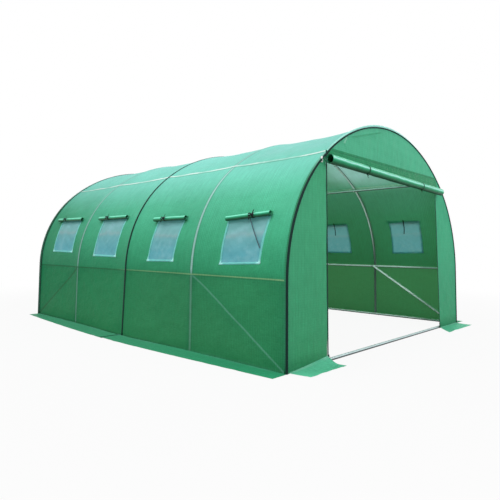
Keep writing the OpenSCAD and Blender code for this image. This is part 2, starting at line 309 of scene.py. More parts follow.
class Wire:   # an output of a node; arithmetic on it adds Math nodes
    def __init__(self, socket):
        self.socket = socket
        self.tree = socket.id_data

    def node(self, kind, settings=None, inputs=None, output=0):
        made = self.tree.nodes.new("ShaderNode" + kind)
        for key, value in (settings or {}).items():
            if key == "stops":
                for k, (place, colour) in enumerate(value):
                    stop = made.color_ramp.elements[k] if k < 2 else made.color_ramp.elements.new(place)
                    stop.position = place
                    stop.color = (*colour, 1)
            else:
                setattr(made, key, value)
        for key, value in (inputs or {}).items():
            if isinstance(value, Wire):
                self.tree.links.new(value.socket, made.inputs[key])
            else:
                made.inputs[key].default_value = value
        return Wire(made.outputs[output]) if made.outputs else None

    def maths(self, operation, a, b=0.0):
        return self.node("Math", {"operation": operation}, {0: a, 1: b})

    def __add__(self, other):
        return self.maths("ADD", self, other)

    def __radd__(self, other):
        return self.maths("ADD", other, self)

    def __sub__(self, other):
        return self.maths("SUBTRACT", self, other)

    def __rsub__(self, other):
        return self.maths("SUBTRACT", other, self)

    def __mul__(self, other):
        return self.maths("MULTIPLY", self, other)

    def __rmul__(self, other):
        return self.maths("MULTIPLY", other, self)

    def __truediv__(self, other):
        return self.maths("DIVIDE", self, other)

    def __rtruediv__(self, other):
        return self.maths("DIVIDE", other, self)

    def __mod__(self, other):
        return self.maths("FLOORED_MODULO", self, other)

    def __abs__(self):
        return self.maths("ABSOLUTE", self)


def sine(x):
    return x.maths("SINE", x)


def larger(a, b):
    return a.maths("MAXIMUM", a, b)


def ramp(x, low, high):   # 0 below low, 1 above high, smooth between
    limits = {"Value": x, "From Min": low, "From Max": high, "To Min": 0.0, "To Max": 1.0}
    return x.node("MapRange", {"interpolation_type": "SMOOTHSTEP"}, limits)


def band(x, middle, half, soft):   # 1 within half of the middle
    return 1 - ramp(abs(x - middle), half - soft, half + soft)


def mixColour(mask, a, b):
    a, b = (c if isinstance(c, Wire) else (*c, 1) for c in (a, b))
    return mask.node("Mix", {"data_type": "RGBA"}, {0: mask, 6: a, 7: b}, 2)


def shade(colour, amount):   # colour times a grey amount
    settings = {"data_type": "RGBA", "blend_type": "MULTIPLY"}
    return amount.node("Mix", settings, {0: 1.0, 6: colour, 7: amount}, 2)


def cloud(coords, scale, detail=3.0, rough=0.5):   # soft noise from 0 to 1
    inputs = {"Vector": coords, "Scale": scale, "Detail": detail, "Roughness": rough}
    return coords.node("TexNoise", None, inputs)


def parts(vector):
    split = vector.node("SeparateXYZ", None, {"Vector": vector})
    return [Wire(socket) for socket in split.socket.node.outputs]


def startPaint(name):
    paint = bpy.data.materials.new(name)
    paint.use_nodes = True
    paint.node_tree.nodes.clear()
    coords = paint.node_tree.nodes.new("ShaderNodeTexCoord")
    return paint, Wire(coords.outputs["Object"]), Wire(coords.outputs["UV"])


def endPaint(paint, shader):
    shader.node("OutputMaterial", None, {"Surface": shader})
    return paint


weaveLook = {
    "ripstop": 0.017,    # pitch of the thicker threads
    "thread": (0.0030, 0.0014),   # half width of those threads, and their soft edge
    "tape": 0.005,       # pitch of the flat woven tapes
    "see": 0.15,         # share of the light that passes
    "glow": (0.13, 0.48, 0.17),       # its colour in the walls
    "roofGlow": (0.50, 0.80, 0.80),
    "roofSee": 0.30,                  # added in the roof
    "streak": (70.0, 5.0),   # uneven tapes: waves a metre across and along them
    "bump": 0.0005,
}


def clothShader(coords, uv, colour, see=weaveLook["see"], warp=(1.0, 0.45), rough=0.5, shine=0.12, roof=None):
    # woven green tape cloth: a grid of thicker threads, a fine weave, mottling, light through it
    u, v, _ = parts(uv)
    pitch = weaveLook["ripstop"]
    tape = fullTurn / weaveLook["tape"]
    gridU = band(u % pitch, pitch / 2, *weaveLook["thread"])
    gridV = band(v % pitch, pitch / 2, *weaveLook["thread"])
    threads = larger(gridU * warp[0], gridV * warp[1])
    checks = sine(u * tape) * sine(v * tape)
    mottle = cloud(coords, 2.3) * 0.26 + cloud(coords, 17.0) * 0.16 + 0.79
    fine, coarse = weaveLook["streak"]
    along = (fine, coarse) if warp[0] > warp[1] else (coarse, fine)
    streaks = coords.node("CombineXYZ", None, {0: u * along[0], 1: v * along[1]})
    mottle = mottle + cloud(streaks, 1.0, 2.0) * 0.36 - 0.18
    tint = shade(colour, mottle * (1 - threads * 0.18) + checks * 0.04 + 0.05)
    height = threads * 0.6 + checks * 0.4
    creased = cloud(coords, 9.0, 4.0, 0.6)
    folds = coords.node("Bump", None, {"Height": creased, "Strength": 0.4, "Distance": 0.025})
    bump = coords.node("Bump", None,
                       {"Height": height, "Strength": 0.5, "Distance": weaveLook["bump"], "Normal": folds})
    skin = coords.node("BsdfPrincipled", None, {
        "Base Color": tint, "Roughness": rough + threads * 0.1, "Normal": bump, "Specular IOR Level": shine,
    })
    through = coords.node("BsdfTranslucent", None, {"Color": (*weaveLook["glow"], 1), "Normal": bump})
    if roof:   # the roof lets more and paler light through
        paler = coords.node("BsdfTranslucent", None, {"Color": (*weaveLook["roofGlow"], 1), "Normal": bump})
        through = coords.node("MixShader", None, {0: roof, 1: through, 2: paler})
        see = see + roof * weaveLook["roofSee"]
    return coords.node("MixShader", None, {0: see, 1: skin, 2: through})


coverLook = {   # colours by height as painted light and shade, and the tubes seen through as painted highlights
    "heights": [
        (0.0, (0.008, 0.190, 0.080)), (0.622, (0.010, 0.205, 0.090)), (0.634, (0.028, 0.285, 0.136)),
        (0.95, (0.056, 0.400, 0.220)), (1.25, (0.084, 0.465, 0.290)), (1.55, (0.185, 0.625, 0.505)),
        (1.9, (0.255, 0.710, 0.640)),
    ],
    # painted highlights of tubes and foot, painted light at the front, painted shade at the rear and beside
    # tubes
    "tubePale": (0.36, 0.60, 0.57),
    "tubeWhite": (0.86, 0.97, 0.93),
    "railPale": (0.32, 0.56, 0.27),
    "bracePale": (0.13, 0.38, 0.30),
    "footPale": (0.16, 0.34, 0.30),
    "frontLowLight": (0.040, 0.235, 0.115),
    "rearShade": (0.040, 0.270, 0.135),
    "shadow": (0.012, 0.095, 0.045),
    "top": 2.0,
    "shadingLines": {   # painted highlight and shadow lines: how far beside the tube or the foot, half width and soft edge
        "hoop": (0.0, 0.012, 0.004), "hoopShadow": (0.016, 0.005, 0.003),
        "purlin": (0.0, 0.011, 0.005), "purlinShadow": (0.018, 0.006, 0.005),
        "rail": (0.0, 0.005, 0.002), "railShadow": (0.007, 0.005, 0.003),
        "brace": (0.0, 0.007, 0.003), "braceShadow": (0.0, 0.010, 0.004),
        "foot": (-0.012, 0.008, 0.006), "footShade": (-0.010, 0.010, 0.007),
    },
}


def shadingAt(x, key, line=0.0):
    beside, half, soft = coverLook["shadingLines"][key]
    return band(x, line + beside, half, soft)


def paintCover():
    paint, coords, uv = startPaint("cover_cloth")
    look = coverLook
    z = parts(coords)[2]
    u, v, _ = parts(uv)
    girth = abs(u)
    edge = tunnel["sideRail"]
    # painted light and shade by height: paler towards the roof, darker below the side rail
    stops = [(height / look["top"], colour) for height, colour in look["heights"]]
    colour = z.node("ValToRGB", {"stops": stops}, {"Fac": z / look["top"]})
    upper = ramp(z, edge - 0.02, edge + 0.05)
    front = ramp(0 - v, -0.3, 0.5)

    # tubes show through as painted highlights with painted shadows beside them; rear braces as painted shadow
    hoopGap = abs(abs(v) - tunnel["bay"])
    colour = mixColour(shadingAt(hoopGap, "hoopShadow") * 0.45, colour, look["shadow"])
    colour = mixColour(shadingAt(hoopGap, "hoop") * (0.40 + upper * 0.44), colour, look["tubePale"])
    colour = mixColour(shadingAt(girth, "purlinShadow", purlinGirth) * 0.45, colour, look["shadow"])
    purlinGlint = 0.3 + ramp(cloud(coords, 3.0), 0.35, 0.6) * 0.55
    colour = mixColour(shadingAt(girth, "purlin", purlinGirth) * purlinGlint, colour, look["tubeWhite"])
    underRail = shadingAt(girth, "railShadow", railGirth) * (0.85 - front * 0.4)
    colour = mixColour(underRail, colour, look["shadow"])
    colour = mixColour(shadingAt(girth, "rail", railGirth) * front * 0.85, colour, look["railPale"])
    slope = (edge - tube) / (tunnel["bay"] - tunnel["layer"])
    lean = math.hypot(1.0, slope)
    off = (z - edge + (abs(v) - tunnel["bay"]) * slope) / lean
    reach = ramp(abs(v), tunnel["bay"], tunnel["bay"] + 0.03) * (1 - ramp(z, edge - 0.01, edge))
    colour = mixColour(shadingAt(off, "brace") * reach * front * 0.85, colour, look["bracePale"])
    colour = mixColour(shadingAt(off, "braceShadow") * reach * (1 - front) * 0.9, colour, look["shadow"])

    # a painted highlight on the foot at the front, painted shade on it further back, painted light and shade
    # on the wall
    foot = shadingAt(girth, "foot", footGirth) * ramp(0 - v, -0.5, 1.5)
    colour = mixColour(foot * 0.15, colour, look["footPale"])
    footShade = shadingAt(girth, "footShade", footGirth) * ramp(v, -1.2, -0.6)
    colour = mixColour(footShade * 0.6, colour, look["shadow"])
    # painted light on the lower wall at the front, painted shade on the upper wall at the rear
    colour = mixColour((1 - upper) * front * 0.35, colour, look["frontLowLight"])
    shadedRear = ramp(v, 0.8, 1.9) * upper * (1 - ramp(z, 1.15, 1.7))
    colour = mixColour(shadedRear * (0.35 + cloud(coords, 4.0) * 0.5), colour, look["rearShade"])
    # painted light over the front bay, painted shade over the rear bays
    colour = shade(colour, 1 + ramp(0 - v, 0.8, 1.8) * (1 - ramp(z, 1.3, 1.6)) * 0.16)
    colour = shade(colour, 1 - ramp(v, -0.3, 1.2) * (1 - ramp(z, 1.55, 1.75)) * upper * 0.13)

    # the roof lets pale light through, most of it over the door
    patchy = ramp(cloud(coords, 1.3), 0.38, 0.62) * 0.4 + 0.6
    roof = ramp(z, 1.5, 1.75) * (ramp(0 - v, 0.4, 1.4) * 0.7 + 0.3) * patchy
    see = 0.23 - upper * 0.10
    skin = clothShader(coords, uv, colour, see=see, warp=(0.45, 1.0), shine=0.08, roof=roof)
    return endPaint(paint, skin)


def paintCloth(name, low, high, lowZ, highZ, **more):
    paint, coords, uv = startPaint(name)
    z = parts(coords)[2]
    colour = mixColour(ramp(z, lowZ, highZ), low, high)
    # painted shade near the ground
    groundShade = 1 - ramp(z, 0.03, 0.14)
    colour = mixColour(groundShade * 0.5, colour, [c * 0.5 for c in low])
    return endPaint(paint, clothShader(coords, uv, colour, **more))


headerLook = {"cloth": (0.105, 0.560, 0.340), "dark": (0.020, 0.230, 0.110), "pale": (0.420, 0.860, 0.660)}
headerFolds = [   # both ends on the wall as x and z, the fold's colour: dark for painted shade, pale for a painted highlight
    ((-0.74, 1.758), (-0.17, 1.908), "dark"), ((-0.83, 1.690), (-0.785, 1.760), "pale"),
]


def foldLine(x, z, start, stop):   # share of the way along a fold, and how far off it
    ax, az = stop[0] - start[0], stop[1] - start[1]
    length = math.hypot(ax, az)
    along = ((x - start[0]) * ax + (z - start[1]) * az) / length ** 2
    return along, ((z - start[1]) * ax - (x - start[0]) * az) / length


def paintHeader():
    paint, coords, uv = startPaint("header_cloth")
    x, _, z = parts(coords)
    colour = headerLook["cloth"]
    for start, stop, kind in headerFolds:
        # painted shade along the dark fold, a painted highlight along the pale one
        along, far = foldLine(x, z, start, stop)
        line = band(far, 0.0, 0.007, 0.006) * ramp(along, 0.0, 0.15) * (1 - ramp(along, 0.85, 1.0))
        colour = mixColour(line * 0.5, colour, headerLook[kind])
    return endPaint(paint, clothShader(coords, uv, colour))


rollLook = {
    "round": [   # underside to top of the roll: painted shade below, painted highlight above the middle
        (0.0, (0.005, 0.080, 0.032)), (0.12, (0.010, 0.170, 0.070)), (0.28, (0.025, 0.360, 0.170)),
        (0.42, (0.050, 0.500, 0.280)), (0.49, (0.120, 0.720, 0.460)), (0.55, (0.360, 1.000, 0.800)),
        (0.64, (0.130, 0.700, 0.440)), (1.0, (0.060, 0.520, 0.300)),
    ],
    "door": [   # the same for the door's roll, with a broader and brighter painted highlight
        (0.0, (0.003, 0.060, 0.022)), (0.10, (0.006, 0.130, 0.050)), (0.25, (0.014, 0.260, 0.110)),
        (0.38, (0.036, 0.440, 0.210)), (0.45, (0.085, 0.600, 0.330)), (0.52, (0.460, 1.000, 0.860)),
        (0.59, (0.480, 1.000, 0.880)), (0.67, (0.140, 0.680, 0.430)), (1.0, (0.040, 0.430, 0.220)),
    ],
    "strip": (0.020, 0.300, 0.130),
}


def paintRoll(name, stops, start, radius, shine):   # painted highlight above, painted shade underneath
    paint, coords, uv = startPaint(name)
    run = parts(uv)[0] - start
    up = 0.5 - sine(run / radius) * 0.5 + (cloud(coords, 9.0) - 0.5) * 0.12
    colour = up.node("ValToRGB", {"stops": stops}, {"Fac": up})
    colour = mixColour(ramp(run, -0.004, 0.004), rollLook["strip"], colour)
    return endPaint(paint, clothShader(coords, uv, colour, see=0.04, rough=0.30, shine=shine))


def paintGround(name, low, high, pale, crease, across):   # cloth on the ground, with a painted highlight along its crease
    paint, coords, uv = startPaint(name)
    y = parts(coords)[1]
    creaseGlint = ramp(cloud(coords, 6.0), 0.35, 0.6)
    colour = mixColour(ramp(0 - y, -0.5, 2.0), low, high)
    lap = band(y, 0.03, 0.018, 0.006)   # shadow where two skirts meet
    colour = mixColour(lap * 0.9, colour, [c * 0.15 for c in low])
    # painted highlight along the crease, in patches
    colour = mixColour(band(parts(uv)[across], crease, 0.010, 0.008) * creaseGlint * 0.3, colour, pale)
    return endPaint(paint, clothShader(coords, uv, colour))


def paintBlackWeb(name, colour, pitch):
    paint, coords, uv = startPaint(name)
    u, v, _ = parts(uv)
    ribs = sine(u * (fullTurn / pitch)) * sine(v * (fullTurn / pitch))
    tint = shade(mixColour(cloud(coords, 40.0), colour, [c * 2.2 for c in colour]), ribs * 0.2 + 0.9)
    bump = coords.node("Bump", None, {"Height": ribs, "Strength": 0.6, "Distance": 0.0004})
    skin = coords.node("BsdfPrincipled", None, {
        "Base Color": tint, "Roughness": 0.62 + cloud(coords, 60.0) * 0.15, "Normal": bump,
        "Specular IOR Level": 0.15,
    })
    return endPaint(paint, skin)


window = {
    "wide": 0.42, "high": 0.418, "sill": 0.135,   # the opening, and its girth over the leg
    "middles": [1.5, 0.5, -0.5, -1.5],
    "lap": 0.004,                                 # netting behind the cover's edge
    "border": 0.020, "film": 0.0005,              # welded border, wide and thick
    "over": 0.0008, "lowerOver": 0.0006,          # border over the cover, and its lower strip over the others
    "behind": 0.0016, "fold": 0.003,              # netting behind the cover, and its folds
    "calm": 0.05, "step": 0.02,                   # still edge of the netting, and mesh size
    "sewn": {   # girth and place along of the rear top, door top, rear low and door low corner
        "left": [
            ((1.660, 1.741), (1.671, 1.237), (2.073, 1.723), (2.081, 1.215)),
            ((1.685, 0.705), (1.687, 0.237), (2.114, 0.705), (2.118, 0.248)),
            ((1.740, -0.356), (1.740, -0.756), (2.145, -0.325), (2.140, -0.712)),
            ((1.773, -1.328), (1.746, -1.771), (2.149, -1.317), (2.131, -1.740)),
        ],
        "right": [
            ((1.685, 1.712), (1.680, 1.300), (2.085, 1.715), (2.080, 1.305)),
            ((1.675, 0.715), (1.672, 0.320), (2.075, 0.720), (2.070, 0.325)),
            ((1.669, -0.280), (1.669, -0.667), (2.068, -0.275), (2.068, -0.662)),
            ((1.669, -1.280), (1.653, -1.665), (2.066, -1.262), (2.056, -1.655)),
        ],
    },
}
windowLow = springGirth - window["sill"]
windowTop = windowLow - window["high"]


def rowAt(girth, y):   # girth and place along, drawn to where the windows' corners are sewn
    s = np.abs(girth)
    above = np.clip((s - purlinGirth) / (looseGirth - purlinGirth), 0, 1)
    below = np.clip((railGirth - s) / (railGirth - windowLow), 0, 1)
    apart = np.clip((1 - np.abs(acrossBay(y))) / (1 - window["wide"] / tunnel["bay"]), 0, 1)
    drawn = np.minimum(above, below) * apart ** 2 * (3 - 2 * apart)
    bay = np.clip(np.floor((halfLength - np.asarray(y)) / tunnel["bay"]), 0, tunnel["bays"] - 1).astype(int)
    middle = np.array(window["middles"])[bay]
    rear = np.clip(0.5 + (y - middle) / window["wide"], 0, 1)
    high = np.clip((windowLow - s) / window["high"], 0, 1)
    moved = []
    for n, plain in ((0, windowLow - high * window["high"]), (1, middle + (rear - 0.5) * window["wide"])):
        left, right = (np.array(window["sewn"][hand])[bay, :, n] for hand in ("left", "right"))
        corners = np.where(np.expand_dims(girth < 0, -1), left, right)
        rearTop, doorTop, rearLow, doorLow = np.moveaxis(corners, -1, 0)
        top = doorTop + (rearTop - doorTop) * rear
        low = doorLow + (rearLow - doorLow) * rear
        moved.append((low + (top - low) * high - plain) * drawn)
    return np.sign(girth) * (s + moved[0]), y + moved[1]


netLook = {
    "down": [(0.0, (0.200, 0.500, 0.500)), (0.34, (0.225, 0.490, 0.500)), (0.40, (0.280, 0.460, 0.480)),
             (0.48, (0.170, 0.440, 0.480)), (0.80, (0.130, 0.440, 0.530)), (1.0, (0.160, 0.490, 0.590))],
    "pale": (0.320, 0.600, 0.660),
    "edge": (0.260, 0.800, 0.760), "corner": (0.500, 1.000, 0.960), "pitch": 0.0022,
}


def paintNet():   # clouded netting, greyer at the top where the roll shades it
    paint, coords, uv = startPaint("window_net")
    u, v, _ = parts(uv)
    pitch = netLook["pitch"]
    threads = larger(band(u % pitch, pitch / 2, 0.0005, 0.0003), band(v % pitch, pitch / 2, 0.0005, 0.0003))
    streaks = cloud(coords, 7.0, 4.0, 0.65)
    down = (abs(u) - windowTop) / window["high"]
    colour = down.node("ValToRGB", {"stops": netLook["down"]}, {"Fac": down + (streaks - 0.5) * 0.25})
    colour = mixColour(ramp(streaks, 0.45, 0.72) * 0.6, colour, netLook["pale"])
    bump = coords.node("Bump", None, {"Height": streaks, "Strength": 0.5, "Distance": 0.01})
    skin = coords.node("BsdfPrincipled", None, {
        "Base Color": colour, "Roughness": 0.4 + threads * 0.2, "Normal": bump,
        "Alpha": 0.88 + threads * 0.10, "Specular IOR Level": 0.25,
    })
    through = coords.node("BsdfTranslucent", None, {"Color": (0.11, 0.56, 0.57, 1), "Normal": bump})
    return endPaint(paint, coords.node("MixShader", None, {0: 0.25, 1: skin, 2: through}))


def paintFilm():   # welded border of a window, brightest at its lower corners
    paint, coords, uv = startPaint("window_border")
    u, v, _ = parts(uv)
    cloudy = cloud(coords, 25.0)
    fromMiddle = abs(abs(abs(v) - tunnel["bay"]) - tunnel["bay"] / 2)
    low = ramp(abs(u), windowLow - 0.05, windowLow - 0.015)
    corner = low * ramp(fromMiddle, window["wide"] / 2 - 0.05, window["wide"] / 2 - 0.015)
    colour = mixColour(corner, netLook["edge"], netLook["corner"])
    skin = coords.node("BsdfPrincipled", None, {
        "Base Color": shade(colour, cloudy * 0.5 + 0.75), "Roughness": 0.3 + cloudy * 0.2,
        "Alpha": 0.72 + corner * 0.28, "Specular IOR Level": 0.4,
    })
    through = coords.node("BsdfTranslucent", None, {"Color": (0.60, 0.95, 0.90, 1)})
    return endPaint(paint, coords.node("MixShader", None, {0: 0.35, 1: skin, 2: through}))


# steel with painted light and shade by the way a face looks, from down to up

railSteel = [   # painted shade below, bare zinc with a painted highlight on top
    (0.0, (0.020, 0.034, 0.034)), (0.26, (0.060, 0.090, 0.090)), (0.36, (0.740, 0.950, 0.900)),
    (1.0, (0.840, 0.990, 0.960)),
]
hoopSteel = [   # painted light below, where the ground lights the bends, and painted shade on top
    (0.0, (0.700, 0.860, 0.820)), (0.30, (0.600, 0.760, 0.720)), (0.44, (0.150, 0.210, 0.200)),
    (0.56, (0.100, 0.145, 0.140)), (1.0, (0.080, 0.110, 0.110)),
]
# painted shade below, a painted highlight on top
groundSteel = [
    (0.0, (0.008, 0.012, 0.012)), (0.46, (0.018, 0.026, 0.026)), (0.54, (0.660, 0.840, 0.800)),
    (1.0, (0.850, 0.950, 0.930)),
]
# painted shade below, a painted highlight on top
sillSteel = [
    (0.0, (0.012, 0.024, 0.024)), (0.50, (0.030, 0.050, 0.050)), (0.58, (0.200, 0.270, 0.270)),
    (0.68, (0.600, 0.740, 0.750)), (1.0, (0.680, 0.820, 0.840)),
]


def paintSteel(name, look, metal):   # zinc spangle over painted light and shade that follow the way a face looks
    paint, coords, _ = startPaint(name)
    spangle = coords.node("TexVoronoi", {"feature": "F1"}, {"Vector": coords, "Scale": 130.0}, "Color")
    flake = coords.node("RGBToBW", None, {"Color": spangle})
    cloudy = cloud(coords, 14.0, 4.0)
    facing = parts(coords.node("NewGeometry", None, None, "Normal"))[2]
    colour = facing.node("ValToRGB", {"stops": look}, {"Fac": facing * 0.5 + 0.5})
    colour = shade(colour, flake * 0.25 + cloudy * 0.3 + 0.72)
    bump = coords.node("Bump", None, {"Height": cloud(coords, 220.0), "Strength": 0.12, "Distance": 0.0004})
    skin = coords.node("BsdfPrincipled", None, {
        "Base Color": colour, "Metallic": metal + flake * metal,
        "Roughness": 0.30 + cloudy * 0.22, "Normal": bump,
    })
    return endPaint(paint, skin)


def paintPlastic(name, colour, rough):
    paint, coords, _ = startPaint(name)
    grain = cloud(coords, 300.0)
    bump = coords.node("Bump", None, {"Height": grain, "Strength": 0.15, "Distance": 0.0003})
    skin = coords.node("BsdfPrincipled", None, {
        "Base Color": mixColour(cloud(coords, 30.0), colour, [min(1, c * 1.15) for c in colour]),
        "Roughness": rough + grain * 0.15, "Normal": bump,
    })
    return endPaint(paint, skin)


coverCloth = paintCover()
endCloth = paintCloth("end_cloth", (0.056, 0.385, 0.188), (0.074, 0.480, 0.250), 0.0, 1.3)
rightCloth = paintCloth("right_end_cloth", (0.056, 0.415, 0.218), (0.074, 0.515, 0.290), 0.0, 1.3)
headerCloth = paintHeader()
# the hem's pale top is a painted highlight
rimCloth = paintCloth("rim_cloth", (0.030, 0.260, 0.125), (0.420, 0.900, 0.800), 1.3, 1.85)
skirtCloth = paintGround("skirt_cloth", (0.046, 0.285, 0.165), (0.020, 0.290, 0.150),
                         (0.14, 0.36, 0.31), 0.014, 0)
flapCloth = paintGround("flap_cloth", (0.060, 0.380, 0.200), (0.125, 0.620, 0.395),
                        (0.48, 0.84, 0.70), 0.008, 1)
tieWeb = paintCloth("door_tie_web", (0.008, 0.070, 0.032), (0.008, 0.070, 0.032), 1.3, 1.6, see=0.0)
bindingWeb = paintBlackWeb("binding_web", (0.004, 0.020, 0.016), 0.003)
ribbonWeb = paintBlackWeb("ribbon_web", (0.008, 0.012, 0.012), 0.0016)
looseWeb = paintBlackWeb("loose_web", (0.055, 0.095, 0.115), 0.0016)
zipWeb = paintBlackWeb("zip_web", (0.010, 0.040, 0.030), 0.0012)
windowNet = paintNet()
windowFilm = paintFilm()
hoopPaint = paintSteel("hoop_steel", hoopSteel, 0.25)
railPaint = paintSteel("rail_steel", railSteel, 0.08)
sillPaint = paintSteel("sill_steel", sillSteel, 0.25)
groundPaint = paintSteel("ground_steel", groundSteel, 0.08)
zinc = paintPlastic("zinc_bolt", (0.52, 0.54, 0.55), 0.3)
whitePlastic = paintPlastic("white_plastic", (0.82, 0.85, 0.83), 0.4)
print("paints mixed:", len(bpy.data.materials))


# the frame keeps its CAD solids

for name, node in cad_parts.items():
    for word, paint in (("hoop", hoopPaint), ("sill", sillPaint), ("ground_rail", groundPaint),
                        ("side_rail", railPaint), ("purlin", railPaint), ("brace", railPaint)):
        if word in name:
            node.data.materials.clear()
            node.data.materials.append(paint)
print("frame painted")


# cover

coverMake = {
    "step": 0.021, "hem": 0.004,               # mesh size, and the foot's height over the ground
    "ripple": 0.0022, "fine": 0.0009,          # height of the soft folds and of the small ones
    "pucker": 0.005, "cornerPucker": 0.0012,   # folds out of the tubes' crossings and the windows' corners
    "flare": 0.018, "flareDeep": 0.16,         # the front hem stands up, and fades within this depth
    "bow": 0.044, "slide": 0.036,              # the foot is drawn out and forward at the middle hoop
    "crossReach": 0.32, "cornerReach": 0.13,   # length of the folds out of the crossings and corners
    "clear": 0.001, "deepest": 0.0025,         # gap to the tubes, and the deepest hollow
}


def coverLift(girth, y):   # folds of the cover, none at the hoops
    s = np.abs(girth)
    calm = 1 - acrossBay(y) ** 2
    half = window["wide"] / 2
    corners = [(a, b + c) for a in (windowTop, windowLow) for b in window["middles"] for c in (-half, half)]
    held = [(g, hoop) for g in (purlinGirth, railGirth) for hoop in hoopYs]
    soft = waves(girth, y, 3, 0.9, 0.22) * coverMake["ripple"]
    soft = soft + waves(girth, 0.45 * y, 8, 0.16, 0.07) * coverMake["fine"]
    drawn = puckers(s, y, corners, coverMake["cornerReach"], 6) * coverMake["cornerPucker"]
    drawn = drawn + puckers(s, y, held, coverMake["crossReach"], 9) * coverMake["pucker"] * calm
    return coverMake["clear"] + np.maximum(soft * calm + drawn * calm, -coverMake["deepest"])


def flareAt(girth, y):   # the loose front hem stands up a little at the top
    top = np.exp(-((girth + 0.2) / 0.8) ** 2)
    return coverMake["flare"] * top * np.exp(-np.maximum(y + wallY, 0) / coverMake["flareDeep"])


def footPull(girth, y):   # the cover's foot is drawn outward and towards the door at the middle hoop
    low = np.clip((np.abs(girth) - railGirth) / (footGirth - railGirth), 0, 1)
    pull = low * np.exp(-(y / 0.7) ** 2)
    return coverMake["bow"] * pull, coverMake["slide"] * pull


def coverAt(girth, y, lift=0.0):
    moved, along = rowAt(girth, y)
    off = tunnel["coverOff"] + lift - slackAt(moved, y) + coverLift(girth, y)
    bow, slide = footPull(girth, y)
    x, z = archAt(moved, off + flareAt(girth, y) + bow)
    return x, along - slide, z


def inWindow(girth, y):
    tall = (np.abs(girth) > windowTop) & (np.abs(girth) < windowLow)
    wide = np.min([np.abs(y - m) for m in window["middles"]], axis=0) < window["wide"] / 2
    return tall & wide


def makeCover(end, word):
    half = [0, purlinGirth, windowTop, windowLow, railGirth, footGirth - coverMake["hem"]]
    girths = stations([-g for g in half[:0:-1]] + half, coverMake["step"])
    near = [0.0]
    for m in sorted(abs(m) for m in window["middles"][:2]):
        near += [m - window["wide"] / 2, m + window["wide"] / 2]
    ys = stations(near[:3] + [tunnel["bay"]] + near[3:] + [halfLength, wallY], coverMake["step"])
    ys = sorted(end * y for y in ys)
    piece = weave(word + "_cover_cloth", girths, ys, coverAt, drop=inWindow)
    dress(piece, coverCloth, "roof_cloth", word + "_cover")
    wide = 2 * (footGirth - coverMake["hem"])
    holes = tunnel["bays"] * window["wide"] * window["high"]   # half the bays, on both sides
    carried = [word + "_hoop", word + "_middle_hoop", "middle_hoop", "left_purlin", "right_purlin"]
    facts = {"flat": (wide, wallY), "area": wide * wallY - holes, "held": "stretched", "rests_on": carried}
    return piece, facts


frontCover, frontFacts = makeCover(-1, "front")
rearCover, rearFacts = makeCover(1, "rear")

binding = {
    "wide": 0.024, "thick": 0.0012, "lift": 0.0014,   # black web over the covers' seams
    "crown": 0.001,                   # the web's middle over its edges
    "piping": 0.0098, "slim": 0.45,   # round piping, and the share that it loses past the left leg
    "seam": 0.0038, "short": 0.022,   # the header's piping, and how far it ends from the arch
    "rim": 0.018, "rimLift": 0.0028, "rimThick": 0.001,   # doubled hem
    "seat": 0.0140, "tuck": 0.015,    # piping and the hem's edge, over the tube's middle line
    "out": 0.003, "foot": 0.006,      # piping in front of the wall, and over the ground
}


def overArch(foot, step):   # girths from one foot to the other
    return stations([foot - footGirth, footGirth - foot], step)


def roundTurn(corners):
    return [fullTurn * k / corners for k in range(corners + 1)]


def makeBinding(name, y):   # black web over the seam of the two covers
    girths = overArch(coverMake["hem"], 0.04)
    w = binding["wide"] / 2

    def place(g, d):
        off = tunnel["coverOff"] + binding["lift"] + coverMake["clear"]
        off = off + binding["crown"] * (1 - (d / w) ** 2)
        bow, slide = footPull(g, y + d)
        x, z = archAt(g, off + bow)
        return x, y + d - slide, z

    piece = weave(name, girths, [-w, -w / 2, 0, w / 2, w], place)
    thicken(piece, binding["thick"])
    return dress(piece, bindingWeb, "tie_ribbon")


def makePiping(name, end):   # round black piping in the seam between cover and end wall
    girths = overArch(binding["foot"], 0.035)
    turns = roundTurn(10)
    r = binding["piping"]

    def place(g, a):
        thin = r * (1 - binding["slim"] * np.clip((g + 1.7) / 1.2, 0, 1))   # full on the left leg alone
        x, z = archAt(g, binding["seat"] + thin * np.cos(a))
        return x, end * (wallY + binding["out"] + thin * np.sin(a)), z

    piece = weave(name, girths, turns if end < 0 else turns[::-1], place, flat=lambda g, a: (g, a * r))
    closeSeams(piece)
    return dress(piece, bindingWeb, "tie_ribbon")


def makeRim(name, end):   # doubled hem of the cover along the end hoop, turned down to the piping
    girths = overArch(coverMake["hem"], 0.035)
    steps = range(7)   # four steps forward, two down

    def place(g, step):
        back = binding["rim"] * np.clip(1 - step / 4, 0, 1)
        top = tunnel["coverOff"] + binding["rimLift"] + flareAt(g, end * (wallY - back))
        off = top + (binding["tuck"] - top) * np.clip((step - 4) / 2, 0, 1)
        x, z = archAt(g, off)
        return x, end * (wallY - back + 0.001 * (step > 4)), z

    piece = weave(name, girths, steps if end > 0 else steps[::-1], place,
                  flat=lambda g, step: (g, step * 0.0045))
    thicken(piece, binding["rimThick"])
    return dress(piece, rimCloth, "roof_cloth")


middleBinding = makeBinding("middle_binding", 0.0)
rearBinding = makeBinding("rear_binding", wallY - binding["rim"] - binding["wide"] / 2)
frontPiping, rearPiping = makePiping("front_piping", -1), makePiping("rear_piping", 1)
frontRim, rearRim = makeRim("front_rim", -1), makeRim("rear_rim", 1)
print("cover stretched:", round(areaOf(frontCover), 2), round(frontFacts["area"], 2))


# end walls

